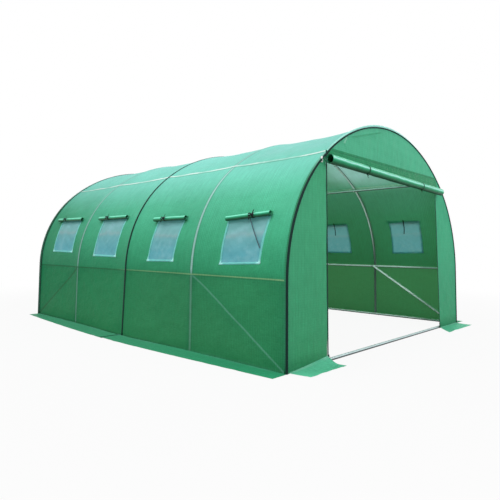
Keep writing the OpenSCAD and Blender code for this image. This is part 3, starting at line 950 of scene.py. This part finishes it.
doorEdge = {   # the doorway's edges hang off plumb: half width at the ground and at the seam
    "front_left": (1.0697, 1.0835), "front_right": (1.073, 1.0006),
    "rear_left": (doorHalf, doorHalf), "rear_right": (doorHalf, doorHalf),
}
endWall = {
    "step": 0.014, "foot": 0.003, "tip": 0.004,   # mesh size, gap to the ground and under the header
    "bulge": 0.006, "ripple": 0.0026, "crease": 0.012, "creaseWide": 0.016,
    "calm": 0.3, "doorFold": 0.004,               # still below the header; folds of the rear door
    "sweep": 0.004, "free": 0.6,                  # sway of the door's edge, from this share of the width
}
zipLook = {
    "wide": 0.014, "thick": 0.0008, "tooth": (0.0026, 0.0022, 0.0034), "pitch": 0.006,
    "slider": (0.011, 0.007, 0.016), "sliderZ": 0.05, "pull": (0.008, 0.0014), "pullZ": 0.036,
    "out": {"tape": 0.0018, "tooth": 0.0022, "slider": 0.004, "pull": 0.0085},   # in front of the wall
    "foot": 0.004, "tip": 0.008,
}


def wallFold(x, z, seed):
    return waves(x, z, seed, 0.6, 0.1) * endWall["ripple"]


def creaseAt(x, z, start, stop):   # a sharp fold from one point to another
    along, far = foldLine(x, z, start, stop)
    fade = np.clip(np.minimum(along, 1 - along) * 8, 0, 1)
    return fade * np.exp(-np.abs(far) / endWall["creaseWide"]) * np.where(far < 0, 1, 0.35)


def makeHeader(end, word):
    half = archHalf(seamZ, tubeR).item()
    xs = stations([-half, half], endWall["step"])
    shares = stations([0.0, 1.0], 0.04)

    def heightAt(x, share):
        return seamZ + (crownAt(x, tubeR) - seamZ) * share

    def place(x, share):
        z = heightAt(x, share)
        middle = np.sin(math.pi * np.clip(share, 0, 1)) * (1 - (x / half) ** 2)
        out = endWall["bulge"] * middle + wallFold(x, z, 5) * middle
        out = out + endWall["crease"] * sum(creaseAt(x, z, start, stop) for start, stop, _ in headerFolds)
        return x, end * (wallY + out), z

    piece = weave(word + "_header_cloth", xs if end < 0 else xs[::-1], shares, place,
                  flat=lambda x, share: (x, heightAt(x, share)))
    closeSeams(piece)
    dress(piece, headerCloth if end < 0 else endCloth, "wall_cloth", word + "_header")
    return piece, {"flat": (2 * half, headerHigh.z - seamZ), "area": areaOf(piece), "held": "stretched"}


def makePanel(end, side, word, hand):
    low, high = endWall["foot"], seamZ - endWall["tip"]
    foot, top = doorEdge[f"{word}_{hand}"]
    rows = stations([low, tunnel["sideRail"], high], endWall["step"])
    shares = stations([0.0, 1.0], 0.07)

    def edgeAt(share, z):
        inner = foot + (top - foot) * z / seamZ
        outer = np.maximum(archHalf(z, tubeR), inner)
        return side * (outer + (inner - outer) * share)

    def place(share, z):
        x = edgeAt(share, z)
        calm = np.sin(math.pi * share) * np.clip((high - z) / endWall["calm"], 0, 1)
        sway = endWall["sweep"] * np.clip(share - endWall["free"], 0, 1)
        sway = sway * waves(z, 0 * z, 21 + side, 0.7, 0.2)
        out = 0.0005 + np.maximum(wallFold(x, z, 11 + side) * calm + sway, -0.0012)
        return x, end * (wallY + out), z

    forward = (side < 0) == (end < 0)
    piece = weave(f"{word}_{hand}_panel_cloth", shares if forward else shares[::-1], rows, place,
                  flat=lambda share, z: (edgeAt(share, z), z))
    closeSeams(piece)
    dress(piece, endCloth if side < 0 else rightCloth, "wall_cloth", f"{word}_{hand}_panel")
    word + "_hoop"


def makeSeam(name, end):   # piping under the header
    half = archHalf(seamZ, tubeR).item() - binding["short"]
    turns = roundTurn(8)
    r = binding["seam"]

    def place(x, a):
        return x, end * (wallY + 0.002 + r * np.cos(a)), seamZ - 0.001 + r * np.sin(a)

    xs = stations([-half, half], 0.08)
    piece = weave(name, xs, turns if end > 0 else turns[::-1], place, flat=lambda x, a: (x, a * r))
    closeSeams(piece)
    return dress(piece, bindingWeb, "tie_ribbon")


for end, word in ends:
    header, facts = makeHeader(end, word)
    seam = makeSeam(word + "_header_seam", end)
    word + "_hoop"
    for side, hand in sides:
        makePanel(end, side, word, hand)


def makeRearDoor():
    half = doorHalf - zipLook["wide"]
    low, high = endWall["foot"], seamZ - 0.001
    xs = stations([half, -half], endWall["step"])
    zs = stations([low, tunnel["sideRail"], high], endWall["step"])

    def place(x, z):
        calm = (1 - (x / half) ** 4) * np.sin(math.pi * np.clip(z / seamZ, 0, 1)) ** 0.5
        folds = waves(x, 0.3 * z, 31, 0.5, 0.12) * endWall["doorFold"] + wallFold(x, z, 33)
        return x, wallY + 0.001 + np.maximum(endWall["bulge"] * calm + folds * calm, -0.001), z

    piece = weave("rear_door_cloth", xs, zs, place)
    dress(piece, endCloth, "wall_cloth", "rear_door")


makeRearDoor()
print("end walls hung")


# rolled door and window flaps

def rollProfile(rollR, drop, pitch, core, stand):
    # hem, strip and spiral as lengths along the cloth with out and up from the wall
    strip, perTurn = 8, 22   # points down the strip and round a turn
    down = np.linspace(drop, 0, strip)
    r0 = rollR - pitch / 2
    turns = (r0 - core) / pitch
    a = np.linspace(0, fullTurn * turns, int(turns * perTurn))[1:]
    r = r0 - pitch * a / fullTurn
    out = np.concatenate([np.full(strip, stand), stand + r0 - r * np.cos(a)])
    up = np.concatenate([down, -r * np.sin(a)])
    run = np.concatenate([[0], np.cumsum(np.hypot(np.diff(out), np.diff(up)))])
    turn = np.concatenate([np.zeros(strip), a / a[-1]])
    return {"run": run, "out": out, "up": up, "turn": turn, "middle": stand + r0}


rolled = {
    "tieReach": 0.03, "uneven": 0.03,   # a tie draws the roll in this far along; share of its lumps
    "free": 0.03, "hollow": 0.03,       # the strip is still above this height; deepest hollow of an end
}


def makeRoll(name, profile, length, ties, roll, seed, strip=1.0):
    # out, along and up of a rolled cloth, drawn in at its ties and hollow at its ends
    pinch, recess = roll["pinch"], roll["recess"]
    lean, reach, trim = (roll.get(key, 0.0) for key in ("lean", "reach", "trim"))
    along = stations([-length / 2] + sorted(ties) + [length / 2], length / 60)

    def place(run, y):
        out = np.interp(run, profile["run"], profile["out"])
        up = np.interp(run, profile["run"], profile["up"])
        turn = np.interp(run, profile["run"], profile["turn"])
        draw = sum(np.exp(-((y - t) / rolled["tieReach"]) ** 2) for t in ties)
        swell = 1 - pinch * draw + rolled["uneven"] * waves(y, 0.8 * up, seed, 0.5, 0.11)
        loose = np.clip(1 - up / rolled["free"], 0, 1)
        swell = 1 + (swell - 1) * loose
        out = profile["middle"] + (out - profile["middle"]) * swell
        ending = np.clip((np.abs(y) / (length / 2) - 0.8) * 5, 0, 1)   # 0 to 1 in the last fifth of each half
        shift = np.minimum(recess * turn, rolled["hollow"]) * ending
        free = np.clip(run / strip, 0, 1)   # the strip's top stays where it is sewn
        drawn = np.sign(y) * shift + reach * free * (0.5 - y / length)
        return out, y * (1 - trim * (1 - free)) - drawn, up * swell + lean * free * y / (length / 2)

    return weave(name, list(profile["run"]), along, place)


doorRoll = {
    "pitch": 0.0021, "core": 0.0255, "stand": 0.0036,   # step of a turn, hollow, gap to the wall
    "tie": 0.54, "pinch": 0.05, "recess": 0.02,         # the ties from the middle, drawn in, hollow ends
    "lean": -0.028, "reach": 0.042,                     # right end lower, left end out past the strip
    "trim": 0.045, "shine": 0.10,                       # share that the strip's top loses
    "solidGap": 0.004,                                  # between the wall and the roll's solid
}


def makeDoorRoll():
    radius = (doorRollHigh.y - doorRollLow.y - doorRoll["solidGap"]) / 2
    length = doorRollHigh.x - doorRollLow.x
    reach = doorRoll["reach"]   # the roll's left end lies further out than its strip
    rollZ = doorRollLow.z + radius
    drop = doorRollHigh.z - rollZ
    profile = rollProfile(radius, drop, doorRoll["pitch"], doorRoll["core"], doorRoll["stand"])
    ties = [(x + reach / 2) / (1 + reach / length) for x in (-doorRoll["tie"], doorRoll["tie"])]
    piece = makeRoll("front_door_cloth", profile, length, ties, doorRoll, 4, drop)
    face = -doorRollHigh.y   # front of the end wall
    moveMesh(piece, Matrix(((0, 1, 0, 0), (-1, 0, 0, -face), (0, 0, 1, rollZ), (0, 0, 0, 1))))
    paint = paintRoll("door_roll_cloth", rollLook["door"], drop, radius - doorRoll["pitch"] / 2,
                      doorRoll["shine"])
    dress(piece, paint, "wall_cloth", "front_door_roll")
    axis = Vector((0, -face - profile["middle"], rollZ))
    return piece, (length, float(profile["run"][-1])), axis, radius


doorCloth, doorFlat, doorAxis, doorRadius = makeDoorRoll()
print("door rolled:", [round(n, 2) for n in doorFlat])

windowRoll = {
    "radius": 0.022, "core": 0.0135, "pitch": 0.002,   # outside, hollow and step of a turn
    "stand": 0.0036, "drop": 0.028, "sink": 0.0245,    # gap to the cover, strip, and the seat in its slack
    "pinch": 0.12, "recess": 0.008, "shine": 0.22,
    "lie": {   # door end and rear end along the tunnel, girth of the middle, tilt
        "left": [(1.190, 1.817, 1.672, 0.0175), (0.203, 0.772, 1.692, 0.0035), (-0.790, -0.315, 1.746, 0.0),
                 (-1.782, -1.323, 1.7655, -0.059)],
        "right": [(1.290, 1.735, 1.688, 0.01), (0.310, 0.740, 1.679, -0.01), (-0.677, -0.255, 1.675, 0.0),
                  (-1.675, -1.255, 1.667, -0.03)],
    },
    "knot": {   # along the roll from its middle
        "left": [0.10, 0.08, 0.067, -0.06], "right": [0.0] * tunnel["bays"],
    },
}


def windowFrame(side, hand, k):   # out from the cover, along the tunnel, up the cover; and the roll's length
    door, rear, girth, tilt = windowRoll["lie"][hand][k]
    f = turnAt(girth).item()
    x, z = archAt(girth, tunnel["coverOff"] - windowRoll["sink"])
    out = Vector((side * math.sin(f), 0, math.cos(f)))
    up = Vector((-side * math.cos(f), 0, math.sin(f)))
    matrix = Matrix.Identity(4)
    for n, axis in enumerate((out, Vector((0, 1, 0)), up)):
        matrix.col[n][:3] = axis
    matrix.col[3][:3] = (side * x.item(), (door + rear) / 2, z.item())
    return matrix @ Matrix.Rotation(-side * tilt, 4, "X"), rear - door


windowRollPaint = paintRoll("window_roll_cloth", rollLook["round"], windowRoll["drop"],
                            windowRoll["radius"] - windowRoll["pitch"] / 2, windowRoll["shine"])


def makeWindowFlap(side, hand, k):
    profile = rollProfile(windowRoll["radius"], windowRoll["drop"], windowRoll["pitch"], windowRoll["core"],
                          windowRoll["stand"])
    matrix, length = windowFrame(side, hand, k)
    knot = windowRoll["knot"][hand][k]
    name = f"{hand}_window_flap_{k + 1}"
    piece = makeRoll(name + "_cloth", profile, length, [knot], windowRoll, 50 + 7 * k + side)
    moveMesh(piece, matrix)
    dress(piece, windowRollPaint, "wall_cloth", name)
    knotPlace = matrix @ Matrix.Translation((profile["middle"], knot, 0))
    return piece, (length, float(profile["run"][-1])), knotPlace


# ribbons

ribbon = {
    "wide": 0.011, "thick": 0.0008, "knot": (0.009, 0.013, 0.013), "loop": 0.027,
    "loopPath": [   # out from the knot, share of the loop along, up
        (0, 0, 0), (0.012, 0.45, 0.004), (0.014, 0.9, -0.004), (0.008, 1.05, -0.010), (0.003, 0.7, -0.008),
        (0.001, 0, 0),
    ],
    "inside": [(-0.03, 0), (0.02, 0.002), (0.09, 0.006), (0.16, 0.016)],   # past a window's top, and aside
    "under": 0.032,   # ribbons inside, under the slack cover
}


def ribbonStrip(name, points, wideWay, wide):   # a flat ribbon along a smooth path
    line = [Vector(p) for p in points]
    fine = []
    for a, b, c, d in zip([line[0]] + line, line, line[1:], line[2:] + [line[-1]]):
        for t in (0, 0.2, 0.4, 0.6, 0.8):   # smooth through the points
            fine.append(0.5 * ((2 * b) + (c - a) * t + (2 * a - 5 * b + 4 * c - d) * t * t
                               + (3 * b - a - 3 * c + d) * t ** 3))
    fine.append(line[-1])
    run = [0.0]
    for a, b in zip(fine, fine[1:]):
        run.append(run[-1] + (b - a).length)
    fine = np.array(fine)
    way = np.array(wideWay, float)

    def place(d, s):
        return [np.interp(s, run, fine[:, k]) + d * way[k] for k in range(3)]

    piece = weave(name, [-wide / 2, 0, wide / 2], run, place)
    thicken(piece, ribbon["thick"])
    return piece


def makeBow(radius, tails, loops):
    # a band round a roll whose middle is the origin, a knot on its lower front, two loops and tails
    clearSelection()
    bpy.ops.mesh.primitive_cylinder_add(vertices=40, radius=radius + 0.001, depth=ribbon["wide"] * 1.3,
                                        end_fill_type="NOTHING", rotation=(math.pi / 2, 0, 0))
    hoopBand = bpy.context.object
    settle(hoopBand)
    thicken(hoopBand, ribbon["thick"])
    out, down = radius + 0.004, -0.004
    pieces = [hoopBand, addBlock(ribbon["knot"], (out, 0, down), 0.0035, 3)]
    for way in loops:
        reach = ribbon["loop"] * way
        loop = [(out + a, b * reach, down + c) for a, b, c in ribbon["loopPath"]]
        pieces.append(ribbonStrip("loop", loop, (0.1, 0, 0.99), ribbon["wide"]))
    for path, wideWay in tails:
        pieces.append(ribbonStrip("tail", path, wideWay, ribbon["wide"] * 0.8))
    for piece in pieces:
        piece.data.uv_layers[0].name = "UVMap"
    bow = joinAs("bow", pieces)
    bpy.ops.object.shade_smooth_by_angle(angle=math.radians(35))
    return bow


drawnIn = windowRoll["radius"] * (1 - windowRoll["pinch"])   # the roll's radius at its ribbon
face = drawnIn + 0.003
windowBow = makeBow(drawnIn, [
    ([(face, 0, -0.006), (face + 0.006, 0.012, -0.02), (face, 0.020, -0.045)], (0, 0.9, 0.3)),
    ([(face, 0, -0.002), (face + 0.008, -0.012, 0.012), (face + 0.010, -0.02, 0.03)], (0, 0.8, 0.5)),
], (-1, 1))
for side, hand in sides:
    for k in range(tunnel["bays"]):
        flap, flat, knotPlace = makeWindowFlap(side, hand, k)
        tie = copyTo(windowBow, f"{hand}_window_tie_{k + 1}", knotPlace)
        dress(tie, ribbonWeb, "tie_ribbon", hand + "_window_ties")
bpy.data.objects.remove(windowBow)

drawnIn = doorRadius * (1 - doorRoll["pinch"])
face = drawnIn + 0.004
doorBow = makeBow(drawnIn, [
    ([(face, 0, -0.004), (face + 0.014, 0.006, -0.008), (face + 0.030, 0.009, -0.008)], (0, 1, 0)),
    ([(face, 0, -0.004), (face + 0.010, -0.010, 0.004), (face + 0.022, -0.018, 0.010)], (0, 0.9, 0.3)),
], ())
for side, hand in sides:
    lowered = doorRoll["lean"] * side * doorRoll["tie"] / (doorFlat[0] / 2)
    turned = Matrix.Translation(doorAxis + Vector((side * doorRoll["tie"], 0, lowered)))
    turned = turned @ Matrix.Rotation(-math.pi / 2, 4, "Z") @ Matrix.Rotation(math.radians(75), 4, "Y")
    tie = copyTo(doorBow, f"front_door_{hand}_tie", turned)
    dress(tie, tieWeb, "tie_ribbon", "front_door_ties")
bpy.data.objects.remove(doorBow)


clip = {"size": (0.016, 0.010, 0.030), "ring": (0.009, 0.0028), "low": -0.020, "place": (1.140, 1.528)}


def makeClip():   # small white hook that holds the roll's end
    body = addBlock(clip["size"], (0, 0, 0), 0.003, 3)
    hook = addRing(*clip["ring"], (0, 0, clip["low"]), (24, 10))
    made = joinAs("clip", [body, hook])
    bpy.ops.object.shade_smooth_by_angle(angle=math.radians(40))
    return made


rollClip = makeClip()
for side, hand in sides:
    x, z = clip["place"]
    place = Matrix.Translation((side * x, -wallY - clip["size"][1] / 2, z))
    dress(copyTo(rollClip, f"door_{hand}_clip", place), whitePlastic, "zip_tape")
bpy.data.objects.remove(rollClip)


looseTie = {
    "from": (1.773, -1.570), "to": (2.017, -1.730),   # girth and place along
    "wide": 0.010, "over": 0.005, "stand": 0.012,     # over the cover, and how much more at its knot
}


def makeLooseTie():
    path = []
    for t in (0.0, 0.25, 0.5, 0.75, 1.0):
        girth, y = [a + (b - a) * t for a, b in zip(looseTie["from"], looseTie["to"])]
        lift = looseTie["over"] + looseTie["stand"] * (1 - t)
        x, z = archAt(-girth, tunnel["coverOff"] - slackAt(girth, y) + lift)
        path.append((x.item(), y, z.item()))
    piece = ribbonStrip("left_loose_tie", path, (0, 1, 0), looseTie["wide"])
    dress(piece, looseWeb, "tie_ribbon")


makeLooseTie()
print("flaps rolled and tied")


# window netting and its welded borders

def makeScreen(side, hand, k):
    lap = window["lap"]
    y0 = window["middles"][k]
    girths = stations([windowTop - lap, windowLow + lap], window["step"])
    ys = stations([y0 - window["wide"] / 2 - lap, y0 + window["wide"] / 2 + lap], window["step"])
    girths = [side * g for g in girths]

    def place(g, y):
        s = np.abs(g)
        inside = np.clip((window["wide"] / 2 - np.abs(y - y0)) / window["calm"], 0, 1)
        inside = inside * np.clip(np.minimum(s - windowTop, windowLow - s) / window["calm"], 0, 1)
        folds = waves(g, 1.6 * y, 70 + k + 10 * side, 0.3, 0.05) * window["fold"]
        return coverAt(g, y, folds * inside - window["behind"])

    piece = weave(f"{hand}_window_screen_{k + 1}", sorted(girths), ys, place)
    dress(piece, windowNet, "window_mesh", hand + "_window_screens")
    borders = []
    half, deep = window["wide"] / 2 + lap, window["border"]
    spans = [
        ((windowTop - lap, windowLow + lap), (y0 - half, y0 - half + deep)),
        ((windowTop - lap, windowLow + lap), (y0 + half - deep, y0 + half)),
        ((windowLow + lap - deep, windowLow + lap), (y0 - half - lap, y0 + half + lap)),
    ]
    for n, (g, y) in enumerate(spans):
        lines = sorted(side * s for s in stations(list(g), window["step"]))
        lift = window["over"] + window["lowerOver"] * (n == 2)   # the lower strip lies over the others
        rows = stations(list(y), window["step"])
        strip = weave("border", lines, rows, lambda a, b: coverAt(a, b, lift))
        thicken(strip, window["film"])
        borders.append(strip)
    border = joinAs(f"{hand}_window_border_{k + 1}", borders)
    dress(border, windowFilm, "window_mesh")


for side, hand in sides:
    for k in range(tunnel["bays"]):
        makeScreen(side, hand, k)


def makeInnerTie(side, hand, k):   # ribbon that hangs inside at the top of a window
    path = []
    for past, swing in ribbon["inside"]:
        girth, y = rowAt(np.array(side * (windowTop + past)), window["middles"][k])
        x, z = archAt(girth, tunnel["coverOff"] - ribbon["under"])
        path.append((x.item() - side * 0.3 * swing, y.item() + swing, z.item()))
    piece = ribbonStrip(f"{hand}_inner_tie_{k + 1}", path, (0, 1, 0), ribbon["wide"])
    return dress(piece, ribbonWeb, "tie_ribbon")


for tie in [makeInnerTie(side, hand, k) for side, hand in sides for k in range(tunnel["bays"])]:
    flat = (ribbon["wide"], areaOf(tie) / 2 / ribbon["wide"])
print("windows filled")


# skirts and flaps on the ground

groundGap = 0.0012   # the lowest that laid cloth comes
skirt = {
    "lift": 0.003, "edge": 0.0008,       # folds, and waves of the outer edge
    "seat": 0.0025, "under": 0.004,      # height over the ground, and how far it starts under the wall
    "turn": 0.03, "rise": 0.004,         # width and height of the turn at the wall, and of the lap
    "lap": 0.03,                         # the front skirt over the rear one, share of its length
    "tuck": (0.40, 0.50), "right": 0.3,  # share of the width lost at the door and rear end, less on the right
}


def makeSkirt(side, hand, end, word):
    inner, outer = -skirtHigh.x, -skirtLow.x
    wide = outer - inner
    ds = stations([0.0, skirt["turn"], wide], 0.02)
    shares = stations([-skirt["lap"] if end < 0 else 0.0, 1.0], 0.016)

    def place(d, share):
        w = d / wide
        y = end * share * wallY
        tucked = np.where(y < 0, *skirt["tuck"]) * np.minimum(np.abs(y) / halfLength, 1) ** 1.4
        bow = footPull(footGirth, y)[0]
        d = d * (1 - tucked * (1.0 if side < 0 else skirt["right"]) - bow / wide)
        fold = waves(y, 0.4 * d, 61 + 2 * side + end, 0.7, 0.14)
        foot = skirt["rise"] * np.clip(1 - d / skirt["turn"], 0, 1) ** 2
        over = skirt["rise"] * np.clip(1 - np.abs(share) / (2 * skirt["lap"]), 0, 1) if end < 0 else 0
        z = skirt["seat"] + foot + over + skirt["lift"] * w ** 1.3 * np.maximum(fold, -0.1 * w) * 0.55
        edge = skirt["edge"] * w * waves(y, 0 * y, 65 + side, 1.4, 0.5)
        x = inner + bow + d + edge - skirt["under"] * (d == 0)
        return side * x, y, np.maximum(z, groundGap)

    ds = ds if side > 0 else ds[::-1]
    piece = weave(f"{hand}_{word}_skirt", ds, shares if end > 0 else shares[::-1], place,
                  flat=lambda d, share: (d, share * wallY))
    dress(piece, skirtCloth, "wall_cloth", hand + "_skirts")


flapLay = {   # outer and inner corners out from the wall's, depth, height of the crease at the door
    "front_left": {"outer": -0.045, "inner": -0.019, "depth": 0.155, "crease": 0.040},
    "front_right": {"outer": 0.010, "inner": -0.195, "depth": 0.170, "crease": 0.0},
    "rear_left": {"outer": -0.080, "inner": 0.060, "depth": 0.200, "crease": 0.012},
    "rear_right": {"outer": 0.020, "inner": 0.080, "depth": 0.210, "crease": 0.012},
}
flapMake = {
    "rise": 0.008, "turn": 0.09,            # height and width of the turn at the wall
    "lift": 0.003, "spare": (0.12, 0.02),   # folds; flat cloth for the slanted ends and the turn
}


def makeFlap(side, hand, end, word):
    lay = flapLay[f"{word}_{hand}"]
    inner, outer = doorEdge[f"{word}_{hand}"][0], halfSpan
    shares = stations([0.0, 1.0], 0.05)
    ds = stations([0.0, 0.05, lay["depth"]], 0.015)

    def place(share, d):
        w = d / lay["depth"]
        a = inner + lay["inner"] * w
        b = outer + lay["outer"] * np.sin(w * math.pi / 2)
        x = side * (a + (b - a) * share)
        y = wallY + 0.002 + d
        fold = waves(x, y, 81 + side + 3 * end, 0.5, 0.12)
        foot = flapMake["rise"] + lay["crease"] * (1 - share) ** 1.3
        foot = foot * np.clip(1 - d / flapMake["turn"], 0, 1) ** 1.5
        z = endWall["foot"] + foot + flapMake["lift"] * w * np.maximum(fold, -0.1)
        return x, end * y, np.maximum(z, groundGap)

    forward = (side > 0) == (end > 0)
    piece = weave(f"{word}_{hand}_flap", shares if forward else shares[::-1], ds, place,
                  flat=lambda share, d: (inner + (outer - inner) * share, d))
    dress(piece, flapCloth, "wall_cloth", word + "_flaps")


for side, hand in sides:
    for end, word in ends:
        makeSkirt(side, hand, end, word)
        makeFlap(side, hand, end, word)
print("skirts laid")


# zips

def makeZip(end, side, word, hand):
    low, high = zipLook["foot"], seamZ - zipLook["tip"]
    foot, top = doorEdge[f"{word}_{hand}"]
    x0 = side * (foot - zipLook["wide"])
    ys = {key: end * (wallY + out) for key, out in zipLook["out"].items()}

    def place(d, z):
        return x0 + d, ys["tape"], z + 0 * d

    across = sorted([0, side * zipLook["wide"]])
    tape = weave("tape", across if end < 0 else across[::-1], stations([low, high], 0.06), place)
    thicken(tape, zipLook["thick"])
    tooth = addBlock(zipLook["tooth"], (x0, ys["tooth"], low + 0.004), 0.0006, 1)
    count = int((high - low) / zipLook["pitch"])
    modify(tooth, "ARRAY", count=count, use_relative_offset=False, use_constant_offset=True,
           constant_offset_displace=(0, 0, zipLook["pitch"]))
    slider = addBlock(zipLook["slider"], (x0, ys["slider"], zipLook["sliderZ"]), 0.0025, 3)
    pull = addRing(*zipLook["pull"], (x0, ys["pull"], zipLook["pullZ"]), (20, 8))
    piece = joinAs(f"{word}_{hand}_zip", [tape, tooth, slider, pull])
    leaning = Matrix.Identity(4)
    leaning[0][2] = side * (top - foot) / seamZ
    moveMesh(piece, leaning)
    dress(piece, zipWeb, "zip_tape", "door_zips")


for end, word in ends:
    for side, hand in sides:
        makeZip(end, side, word, hand)


# bolts where the rails and braces cross the hoops

bolt = {
    "washer": 0.0085, "washerTall": 0.0014, "base": 0.0012,   # radius, thickness, and where the head starts
    "head": 0.0058, "tall": 0.004, "shank": 0.003, "bevel": 0.0006,
}


def makeBolt():   # head along +Z from the origin
    base, tall = bolt["base"], bolt["tall"]
    return joinAs("bolt", [
        addDisc(24, bolt["washer"], bolt["washerTall"], 0.0005),
        addDisc(6, bolt["head"], tall, base + tall / 2, bolt["bevel"]),
        addDisc(16, bolt["shank"], tall, base + tall + 0.0015, bolt["bevel"]),
    ])


def boltAt(master, place, way, copies):
    turned = Vector(way).to_track_quat("Z", "Y").to_matrix().to_4x4()
    copies.append(copyTo(master, f"bolt_{len(copies)}", Matrix.Translation(place) @ turned))


bolts = []
master = makeBolt()
for y in hoopYs:
    for side in (-1, 1):
        for girth in (purlinGirth, railGirth):
            f = turnAt(np.array(girth)).item()
            x, z = archAt(np.array(side * girth), -tunnel["layer"] - tubeR)
            boltAt(master, (x.item(), y, z.item()), (-side * math.sin(f), 0, -math.cos(f)), bolts)
braceX = halfSpan - 2 * tunnel["layer"] - tubeR
for side in (-1, 1):
    for end in (-1, 1):
        for back, z in ((tunnel["bay"], tunnel["sideRail"]), (tunnel["layer"], tube)):
            boltAt(master, (side * braceX, end * (halfLength - back), z), (-side, 0, 0), bolts)
bpy.data.objects.remove(master)
frameBolts = joinAs("frame_bolts", bolts)
dress(frameBolts, zinc, "galvanised_tube")
print("bolts set")


# stage, light and camera

stage = {
    "floor": 60.0, "floorGrey": 0.45, "white": 0.93, "shadowEnd": (3.0, 7.0), "sky": 0.60,
}
lamps = {   # place, aim, size and watts
    "key": ((-4.5, -0.8, 7.0), (0, -0.3, 0.8), 5.0, 345.0),
    "fill": ((1.0, -7.5, 4.0), (0, -1, 1.0), 5.0, 145.0),
    "door_gloss": ((5.0, -1.3, 4.7), (0, -2, 1.5), 1.1, 60.0),
    "window_gloss": ((-2.8, 4.2, 6.2), (-1.4, -1, 1.1), 0.9, 30.0),
    "tube_light": ((-2.2, -5.2, 1.1), (1.3, -0.3, 0.5), 1.2, 110.0),
}


def seenBy(path):   # camera rays, and the rays by which metal and glass show the background
    glossy, through = (Wire(path.socket.node.outputs[f"Is {ray} Ray"]) for ray in ("Glossy", "Transmission"))
    return larger(larger(path, glossy), through)


def paintFloor():
    paint, coords, _ = startPaint("floor")
    seen = seenBy(coords.node("LightPath"))
    matt = coords.node("BsdfDiffuse", None, {"Color": (*[stage["floorGrey"]] * 3, 1)})
    white = coords.node("Emission", None, {"Color": (1, 1, 1, 1), "Strength": 1.0})
    far = coords.node("VectorMath", {"operation": "LENGTH"}, {0: coords}, "Value")
    share = ramp(far, *stage["shadowEnd"]) * (1 - stage["white"]) + stage["white"]
    return endPaint(paint, coords.node("MixShader", None, {0: seen * share, 1: matt, 2: white}))


clearSelection()
bpy.ops.mesh.primitive_plane_add(size=stage["floor"])
floor = bpy.context.object
floor.name = "floor"
floor.data.materials.append(paintFloor())

world = bpy.data.worlds.new("studio")
world.use_nodes = True
bpy.context.scene.world = world
world.node_tree.nodes.clear()
path = Wire(world.node_tree.nodes.new("ShaderNodeLightPath").outputs["Is Camera Ray"])
skyLight = seenBy(path) * (1 - stage["sky"]) + stage["sky"]
sky = path.node("Background", None, {"Color": (1, 1, 1, 1), "Strength": skyLight})
path.node("OutputWorld", None, {"Surface": sky})


def addLamp(name, place, aim, size, power):
    clearSelection()
    bpy.ops.object.light_add(type="AREA", location=place)
    lamp = bpy.context.object
    lamp.name = name
    lamp.data.shape = "SQUARE"
    lamp.data.size = size
    lamp.data.energy = power
    lamp.rotation_euler = (Vector(aim) - Vector(place)).to_track_quat("-Z", "Y").to_euler()
    return lamp


lit = {name: addLamp(name, *setting) for name, setting in lamps.items()}
tubes = bpy.data.collections.new("inside_tubes")   # the rails in the doorway's shade have a lamp of their own
for name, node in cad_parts.items():
    if "rail" in name or "brace" in name or "purlin" in name:
        tubes.objects.link(node)
lit["tube_light"].light_linking.receiver_collection = tubes

camera = {
    "place": (-4.017, -4.009, 0.845), "yaw": 46.471, "pitch": 3.699, "roll": 0.428,   # degrees
    "lens": 33.35, "sensor": 36.0, "shift": -0.0632, "far": 200.0,
}
yaw, pitch = math.radians(camera["yaw"]), math.radians(camera["pitch"])
ahead = Vector((math.sin(yaw) * math.cos(pitch), math.cos(yaw) * math.cos(pitch), math.sin(pitch)))
clearSelection()
looking = ahead.to_track_quat("-Z", "Y") @ Quaternion((0, 0, 1), math.radians(camera["roll"]))
bpy.ops.object.camera_add(location=camera["place"], rotation=looking.to_euler())
eye = bpy.context.object
eye.data.lens = camera["lens"]
eye.data.shift_y = camera["shift"]
eye.data.sensor_width = camera["sensor"]
eye.data.clip_end = camera["far"]
bpy.context.scene.camera = eye
bpy.context.scene.view_settings.view_transform = "Standard"
print("stage lit")
